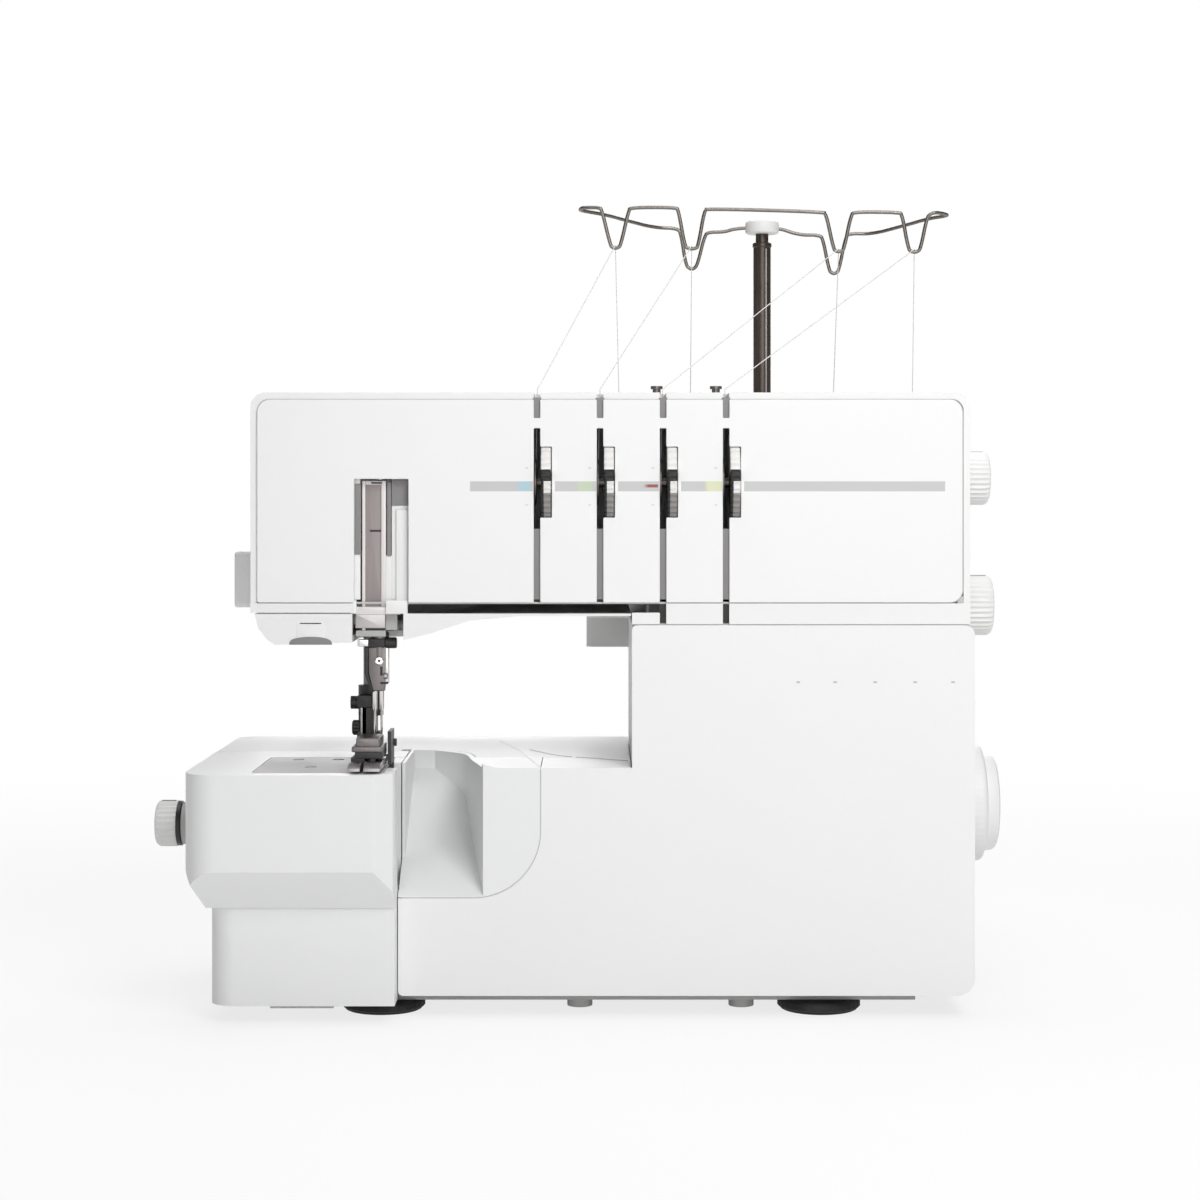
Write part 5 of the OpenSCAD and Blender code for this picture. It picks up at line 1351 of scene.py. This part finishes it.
@dataclass
class NeedleGroup:
    """Needle bar, clamp, needles, presser bar, foot, loopers, knives and feed."""

    kit: Kit
    needle: tuple[float, float] = (-86.8, 12.0)
    presser: tuple[float, float] = (-91.7, 26.0)
    turns: int = 4
    coil_radius: float = 4.4

    def needle_train(self) -> None:
        """Makes the needle bar's lower end: the guide bar, the clamp body, its screws and the needles."""
        x, y = self.needle
        self.kit.dress("needle_bar", "steel", Body.NEEDLES, "steel", 0.15)
        outline = np.array(
            [
                [-91.3, 144.2], [-91.3, 133.8], [-89.5, 126.8], [-84.9, 126.8],
                [-84.6, 129.6], [-83.4, 129.8], [-83.4, 144.2],
            ]
        )
        side = np.array(
            [[-92.6, 144.0], [-92.6, 133.7], [-89.9, 126.2], [-89.2, 126.4], [-91.2, 133.8], [-91.2, 144.0]]
        )
        side_screw = [(2.0, 1.8), (2.4, 2.2), (6.3, 2.2), (6.8, 1.8)]
        low_screw = [(1.6, 1.4), (2.0, 1.7), (3.1, 1.7), (3.45, 1.4)]
        clamp = {
            "dark_steel": [
                turned([(139.2, 3.6), (149.6, 3.6), (150.0, 3.2)], Axis.Z, (x, y, 0), 64),
                slab(outline, Axis.Y, y - 3.4, y + 3.0, 0.5),
            ],
            "chrome": [
                block([-84.4, y - 3.6, 130.4], [-83.3, y - 1.6, 143.8], 0.2),
                turned([(-4.4, 1.3), (-4.1, 1.7), (-3.2, 1.7)], Axis.Y, (x, y, 138.8), 32),
                block([-94.9, y - 4.2, 144.4], [-91.0, y - 1.6, 147.2], 0.3),
            ],
            "foot_steel": [
                turned(low_screw, Axis.X, (x, y - 2.4, 132.8), 32),
                block([-95.3, y - 4.3, 144.5], [-94.6, y - 1.6, 147.1], 0.1),
            ],
            "black_plastic": [
                slab(side, Axis.Y, y - 3.9, y + 2.6, 0.15),
                *blocks(
                    (-86.4, -3.7, 129.6, -83.35, -2.6, 130.4, 0.15),
                    (-86.5, -3.6, 132.9, -85.5, -3.0, 136.5, 0.15),
                    (-91.2, -4.4, 144.1, -84.6, -1.0, 147.5, 0.3),
                    at=(0, y),
                ),
                turned(side_screw, Axis.X, (x, y - 2.2, 145.8), 32),
                turned([(-4.9, 0.5), (-4.4, 0.6)], Axis.Y, (x, y, 138.8), 16),
            ],
        }
        self.kit.piece("needle_clamp_skin", clamp, Body.NEEDLES, "dark_steel", ["needle_clamp"])
        point, shank = [(106.9, TIP), (107.4, 0.18), (112.0, 0.48)], [(139.0, 1.0), (139.0, TIP)]
        rows = [*point, (118.8, 0.5), (119.8, 0.98), *shank]
        blades = [turned(rows, Axis.Z, (x + dx, y, 0), 24, tips=False) for dx in (-2.0, 0.6)]
        self.kit.piece("needle_blades", {"chrome": blades}, Body.NEEDLES, "chrome", ["needles"])

    def presser_parts(self) -> None:
        """Makes the presser bar, the foot's holder with its thumb knob, and the foot."""
        presser = Body.PRESSER
        self.kit.dress("presser_bar", "dark_steel", presser, "steel", 0.2)
        self.kit.dress("foot_holder", "holder_dark", presser, "dark_steel", 0.3)
        x, y = self.presser
        knob = [(-6.8, 2.5), (-6.3, 3.0), (-3.9, 3.0), (-3.5, 2.6)]
        holder = {
            "black_plastic": [
                turned(knob, Axis.X, (x, y - 6.0, 111.5), 48, Ribs(16, 0.3, [0.5, 1, 1, 0.5])),
                *blocks(
                    (-4.4, -10.0, 119.6, 1.5, -3.0, 124.6, 0.3),
                    (-4.2, -8.0, 114.0, -3.5, -7.2, 118.0, 0.15),
                    at=(x, y),
                ),
            ],
            "foot_steel": blocks((-3.4, -9.0, 108.6, -0.8, -3.0, 120.0, 0.3), at=(x, y)),
            "holder_dark": blocks((-0.9, -8.6, 108.6, 1.9, -3.0, 120.0, 0.3), at=(x, y)),
        }
        self.kit.piece("presser_thumb_knob", holder, presser, "dark_steel")
        toe = np.array([[-22.8, 98.5], [7.4, 98.5], [7.4, 101.2], [-20.0, 101.2], [-22.8, 99.6]])
        heel = np.array(
            [[16.8, 98.5], [20.0, 98.5], [23.0, 98.95], [25.6, 100.3], [26.6, 101.3], [16.8, 101.3]]
        )
        foot = {
            "foot_steel": [
                slab(toe, Axis.X, -96.2, -91.4, 0.35),
                slab(toe, Axis.X, -90.3, -83.8, 0.35),
                *blocks(
                    (-91.8, -6.0, 98.9, -89.9, 7.2, 100.8, 0.2),
                    (-96.3, 6.8, 98.5, -93.2, 17.2, 102.2, 0.3),
                ),
                slab(heel, Axis.X, -96.3, -84.0, 0.25),
            ],
            "dark_steel": blocks(
                (-94.0, -12.0, 106.6, -85.0, 7.4, 110.2, 0.4),
                (-95.6, -13.0, 104.9, -83.8, 7.4, 107.0, 0.4),
            ),
            "holder_dark": [
                *blocks(
                    (-94.4, -12.6, 102.4, -83.8, 7.4, 105.2, 0.3),
                    (-96.0, -12.0, 101.0, -90.6, 7.4, 102.8, 0.3),
                    (-88.8, -12.0, 101.0, -86.6, 7.4, 102.8, 0.3),
                    (-96.4, 16.8, 99.4, -94.8, 23.2, 110.2, 0.3),
                    (-88.7, 16.8, 99.4, -87.2, 23.2, 110.2, 0.3),
                ),
                turned([(-96.6, 1.3), (-87.0, 1.3)], Axis.X, (0, 20.0, 107.0), 24),
            ],
        }
        self.kit.piece("presser_foot_skin", foot, Body.FOOT, "chrome", ["presser_foot"])

    def works(self) -> None:
        """Dresses the parts inside: frame, shafts, motor, belt, loopers, knives, feed and spring.

        The spring is a helix: radius * (cos, sin) of the turn, rising evenly with it.
        """
        machine = Body.MACHINE
        self.kit.dress_all(
            ("main_frame", "casting", machine, "casting", 0.4),
            ("main_shaft", "steel", Body.DRIVE, "steel", 0.3),
            ("motor_rotor", "steel", Body.ROTOR, "steel", 0.2),
            ("motor", "dark_steel", machine, "dark_steel", 0.6),
            ("arm_shaft", "steel", Body.CRANK, "steel", 0.2),
            ("upper_looper", "chrome", Body.UPPER_LOOPER, "chrome", 0.25),
            ("lower_looper", "chrome", Body.LOWER_LOOPER, "chrome", 0.25),
            ("lower_knife", "dark_steel", machine, "dark_steel", 0.1),
            ("upper_knife", "holder_dark", Body.KNIFE, "dark_steel", 0.15),
            ("feed_dogs", "steel", Body.FEED, "steel", 0.1),
            ("shaft_bushes", "bronze", machine, "bronze", 0.2),
            ("lifter_lever", "dark_steel", Body.LIFTER, "dark_steel", 0.5),
            ("drive_belt", "belt_rubber", machine, "rubber", 0.2),
        )
        x, y = self.presser
        turn = np.linspace(0.0, 2 * math.pi * self.turns, 24 * self.turns + 1)
        circle = self.coil_radius * np.column_stack([np.cos(turn), np.sin(turn)]) + (x, y)
        coil = np.column_stack([circle, 187.9 + 13.1 * turn / turn[-1]])
        looks = {"steel": [swept(coil, 0.6, 8, (0.02, 0.01, 1))]}
        spring = self.kit.piece("presser_spring_skin", looks, "", "steel", ["presser_spring"])
        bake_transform(spring, Body.PRESSER.value, Body.MACHINE.value, (0, 0, 0.1873), (0, 0, 0.2020))

    def build(self) -> None:
        """Makes the whole group."""
        self.needle_train()
        self.presser_parts()
        self.works()


# ---- side controls


@dataclass(frozen=True)
class Knob:
    """A ribbed side knob with a stepped collar and a dished cap, measured along x from the shell."""

    body: Body
    node: str
    centre: Point
    out: int
    shaft: float
    collar: float
    length: float
    radius: float
    ribs: int

    def build(self, kit: Kit) -> None:
        """Makes the knob with its pointer; out is -1 where it points against x.

        Args:
            kit: Finishes and ways to make a piece.
        """
        collar, length, radius = self.collar, self.length, self.radius
        rows = [
            (-self.shaft, 3.0), (0.35, 3.0), (0.35, radius - 1.2), (collar - 0.4, radius - 1.2),
            (collar, radius - 1.0), (collar, radius - 0.5), (collar + 0.5, radius), (length - 1.8, radius),
            (length - 1.0, radius - 0.4), (length - 0.3, radius - 1.1), (length, radius - 1.8),
            (length, radius - 3.2), (length - 0.5, radius - 3.7),
        ]
        grip = Ribs(self.ribs, 0.7, [0, 0, 0, 0, 0, 0.6, 1, 1, 1, 0.3, 0, 0, 0])
        skin = turned([(self.out * a, r) for a, r in rows], Axis.X, self.centre, self.ribs * 12, grip)
        x, y, z = self.centre
        near, far = sorted(x + self.out * along for along in (collar + 1.2, length - 2))
        pointer = block([near, y - 0.4, z + radius - 0.6], [far, y + 0.4, z + radius + 0.05], 0.15)
        looks = {"knob_white": [skin], "grey_trim_and_painted_shade": [pointer]}
        kit.piece(f"{self.body}_skin", looks, self.body, "knob", [self.node], 30)


@dataclass
class SideControls:
    """Handwheel, dials and knob on the sides, power inlet and switch."""

    kit: Kit
    right: float = 144.5
    width_centre: Point = (-163.1, 80.0, 65.7)

    def handwheel(self) -> None:
        """Makes the handwheel: a rim with fine grip ribs, a stepped face and a smooth boss."""
        rows = [
            (3.0, TIP), (3.0, 6.4), (3.0, 22.9), (3.4, 24.1), (4.4, 24.6), (14.4, 24.6), (15.6, 24.3),
            (16.3, 23.6), (16.6, 22.7), (16.8, 21.0), (17.2, 20.4), (20.6, 20.0), (21.8, 19.3),
            (22.4, 18.0), (22.3, 15.4), (21.6, 14.2), (21.5, TIP),
        ]
        share = [0, 0, 0, 0.1, 0.25, 0.25, 0.25, 0.1, 0, 0, 0, 0, 0, 0, 0, 0, 0]
        rim = turned(rows, Axis.X, (self.right, 85.0, 74.0), 432, Ribs(54, 0.4, share), tips=False)
        self.kit.piece("handwheel_skin", {"shell_white": [rim]}, Body.DRIVE, "knob", ["handwheel"], 30)

    def build(self) -> None:
        """Makes the controls on both sides."""
        self.handwheel()
        right, left, width_knob = self.right, self.width_centre, Body.WIDTH_KNOB
        length_dial, feed_dial = Body.LENGTH_DIAL, Body.FEED_DIAL
        knobs = (
            (length_dial, "stitch_length_dial", (right, 60.0, 158.5), 1, 22.5, 6.0, 17.1, 12.4, 36),
            (feed_dial, "differential_dial", (right, 60.0, 211.0), 1, 22.5, 5.0, 15.9, 11.0, 32),
            (width_knob, "cutting_width_knob", left, -1, 18.0, 14.4, 23.6, 9.7, 28),
        )
        for row in knobs:
            Knob(*row).build(self.kit)
        collar = [(-12.8, 8.4), (-12.4, 8.8), (-4.0, 8.8), (-3.6, 8.4)]
        ring = [(-14.6, 9.4), (-13.0, 9.4), (-12.6, 9.0)]
        neck = {
            "holder_grey": [turned(collar, Axis.X, left, 64)],
            "black_plastic": [turned(ring, Axis.X, left, 64)],
        }
        self.kit.piece("width_knob_neck", neck, width_knob, "knob")
        self.kit.dress("power_inlet", "black_plastic", Body.MACHINE, "black_plastic", 0.3)
        self.kit.dress("power_switch", "black_plastic", Body.ROCKER, "black_plastic", 0.3)


# ---- thread stand and base


@dataclass
class ThreadStand:
    """Spool stand with its cones, the telescopic pole and the guide wire.

    The bends are the corners of the wire: x, y and the height above WIRE_Z.
    """

    kit: Kit
    pole: tuple[float, float] = (72.4, 142.0)
    wire_radius: float = 0.8
    bends: tuple[Point, ...] = (
        (148.5, 100, -1.5), (144, 96, -1.3), (141.5, 96, -1.9), (140, 96, -4), (137.4, 96, -16.4),
        (136, 96, -18.2), (133.4, 96, -18.2), (132, 96, -16.4), (129.4, 96, -2.4), (127.8, 96, -1.3),
        (109.2, 96, -1.1), (107.5, 96, -2.8), (104.6, 96, -16.6), (103.4, 96, -18), (101.2, 96, -18),
        (100, 96, -16.6), (96.9, 96, -2.4), (95.3, 96, -1.1), (46.3, 96, 0.3), (44.7, 96, -0.9),
        (42.1, 96, -15.4), (40.9, 96, -16.8), (37.8, 96, -16.8), (36.3, 96, -15.4), (33.6, 96, -0.6),
        (32.2, 96, 0.8), (13.6, 96, 0.8), (12.2, 96, -0.8), (9, 96, -14.8), (7.7, 96, -16.5),
        (5.5, 96, -16.5), (4.3, 96, -14.8), (0.8, 96, -0.4), (-0.5, 96, 0.8), (-7, 97, 0.9),
        (-8.4, 99, 0.6), (-8.2, 102, 0.2), (2.5, 112, -0.5), (12, 127, -1.4), (24, 140, -2.9),
        (34.6, 142, -3.2),
        (36.2, 142, -6), (38.3, 142, -19), (40, 142, -21.2), (42, 142, -21.2), (43.6, 142, -19),
        (46.8, 142, -6.5), (48.6, 142, -4.9), (55.4, 142, -4.7), (60, 142, -3.4), (66, 142, -2.9),
        (79, 142, -2.9), (89, 142, -6), (98, 142, -6.2), (99.6, 142, -8.2), (102.3, 142, -21.5),
        (103.6, 142, -23.2), (105.4, 142, -23.2), (106.8, 142, -21.5), (109.8, 142, -7), (111.6, 142, -5.5),
        (122, 142, -5.5), (133, 125, -4), (142.5, 110, -2.4), (149.6, 102, -2),
    )

    def wire(self) -> None:
        """Makes the guide wire: a loop through the points at 1/4 and 3/4 of each side of its corners."""
        corners = np.asarray(self.bends, float) + np.array([0, 0, WIRE_Z])
        ahead = np.roll(corners, -1, 0)
        near, far = corners + 0.25 * (ahead - corners), corners + 0.75 * (ahead - corners)
        path = smooth_path(np.stack([near, far], 1).reshape(-1, 3), 4, True)
        looks = {"wire_steel": [swept(path, self.wire_radius, 12, (0.02, 0.3, 1), True)]}
        self.kit.piece("guide_wire_skin", looks, Body.MAST, "chrome", ["guide_wire"], STRAND_ANGLE)

    def mast(self) -> None:
        """Makes the inner pole with its hub, and the outer tube with a lighter seam and a top collar."""
        x, y = self.pole
        hub = [(320.8, 6.6), (321.3, 7.3), (322.2, 7.5), (325.2, 7.5), (326.0, 7.2), (326.4, 6.4)]
        inner = {
            "stand_white": [
                turned(hub, Axis.Z, (x, y, 0), 64),
                block([x - 6.4, y - 3.2, 323.0], [x + 6.4, y + 3.2, 327.0], 1.2),
            ],
            "pole_steel": [turned([(190.0, 2.85), (321.6, 2.85)], Axis.Z, (x, y, 0), 48)],
        }
        self.kit.piece("mast_skin", inner, Body.MAST, "steel", ["thread_mast"])
        tube = [
            (140.0, 3.9), (314.6, 3.9), (315.0, 4.25), (316.4, 4.25), (316.8, 3.9),
            (316.8, 3.0), (316.0, 3.0),
        ]
        outer = {
            "pole_steel": [turned(tube, Axis.Z, (x, y, 0), 64)],
            "dark_steel": [block([x + 1.2, y - 3.96, 152.0], [x + 1.9, y - 3.3, 314.0], 0.1)],
        }
        self.kit.piece("pole_tube", outer, Body.MACHINE, "steel", ["pole_outer"])

    def cones(self) -> None:
        """Makes the cone holders, the wound thread cones with a rolled foot and their top rings."""
        holder = [
            (0.0, 2.7), (0.0, 18.6), (0.4, 19.0), (1.5, 19.0), (2.0, 18.4), (2.0, 10.0),
            (26.0, 6.0), (26.0, 2.7),
        ]
        cone = [
            (2.1, 10.4), (2.1, 19.2), (2.7, 20.0), (4.0, 20.0), (78.0, 12.3), (79.4, 11.6), (80.1, 10.4),
            (80.1, 4.0), (60.0, 4.0), (26.4, 6.4),
        ]
        cap = [(80.05, 4.0), (80.05, 6.6), (81.0, 6.4), (81.4, 5.6), (81.2, 4.0)]
        holders, wound, caps = (
            [turned(rows, Axis.Z, (x, y, 150.0), sides, tips=False) for x, y in CONES]
            for rows, sides in ((holder, 64), (cone, 96), (cap, 48))
        )
        machine = Body.MACHINE
        self.kit.piece("cone_holder_skins", {"holder_grey": holders}, machine, "holder", ["cone_holders"])
        looks = {"wound_thread": wound, "holder_grey": caps}
        self.kit.piece("wound_cones", looks, machine, "thread", ["thread_cones"])

    def build(self) -> None:
        """Makes the whole stand."""
        self.kit.dress("spool_stand", "stand_white", Body.MACHINE, "stand", 0.6)
        self.wire()
        self.mast()
        self.cones()


@dataclass
class Base:
    """Base plate and rubber feet."""

    kit: Kit
    feet: Rows = ((-86, 20), (87, 20), (-86, 104), (87, 104))

    def build(self) -> None:
        """Dresses the base and makes the ribbed feet."""
        self.kit.dress("base_plate", "base_grey", Body.MACHINE, "base", 0.4)
        rows = [
            (0.0, 14.6), (0.3, 15.2), (0.9, 15.4), (1.1, 16.0),
            (1.5, 16.5), (3.6, 16.5), (4.1, 16.1), (4.7, 15.6),
        ]
        ribs = Ribs(32, 0.25, [0, 0, 0, 0.5, 1, 1, 0.5, 0])
        pads = [turned(rows, Axis.Z, (x, y, 0), 128, ribs) for x, y in self.feet]
        self.kit.piece("foot_pads", {"rubber": pads}, Body.MACHINE, "rubber", ["rubber_feet"])


# ---- build


def main() -> None:
    """Builds the studio and every sub-assembly."""
    logging.basicConfig(level=logging.INFO, format="%(name)s %(message)s")
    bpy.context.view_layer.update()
    kit = Kit(Finishes())
    Studio().build()
    for assembly in (Threads, Head, LowerArm, Door, NeedleGroup, SideControls, ThreadStand, Base):
        LOG.info("building %s", assembly.__name__)
        assembly(kit).build()


if __name__ == "__main__":
    main()
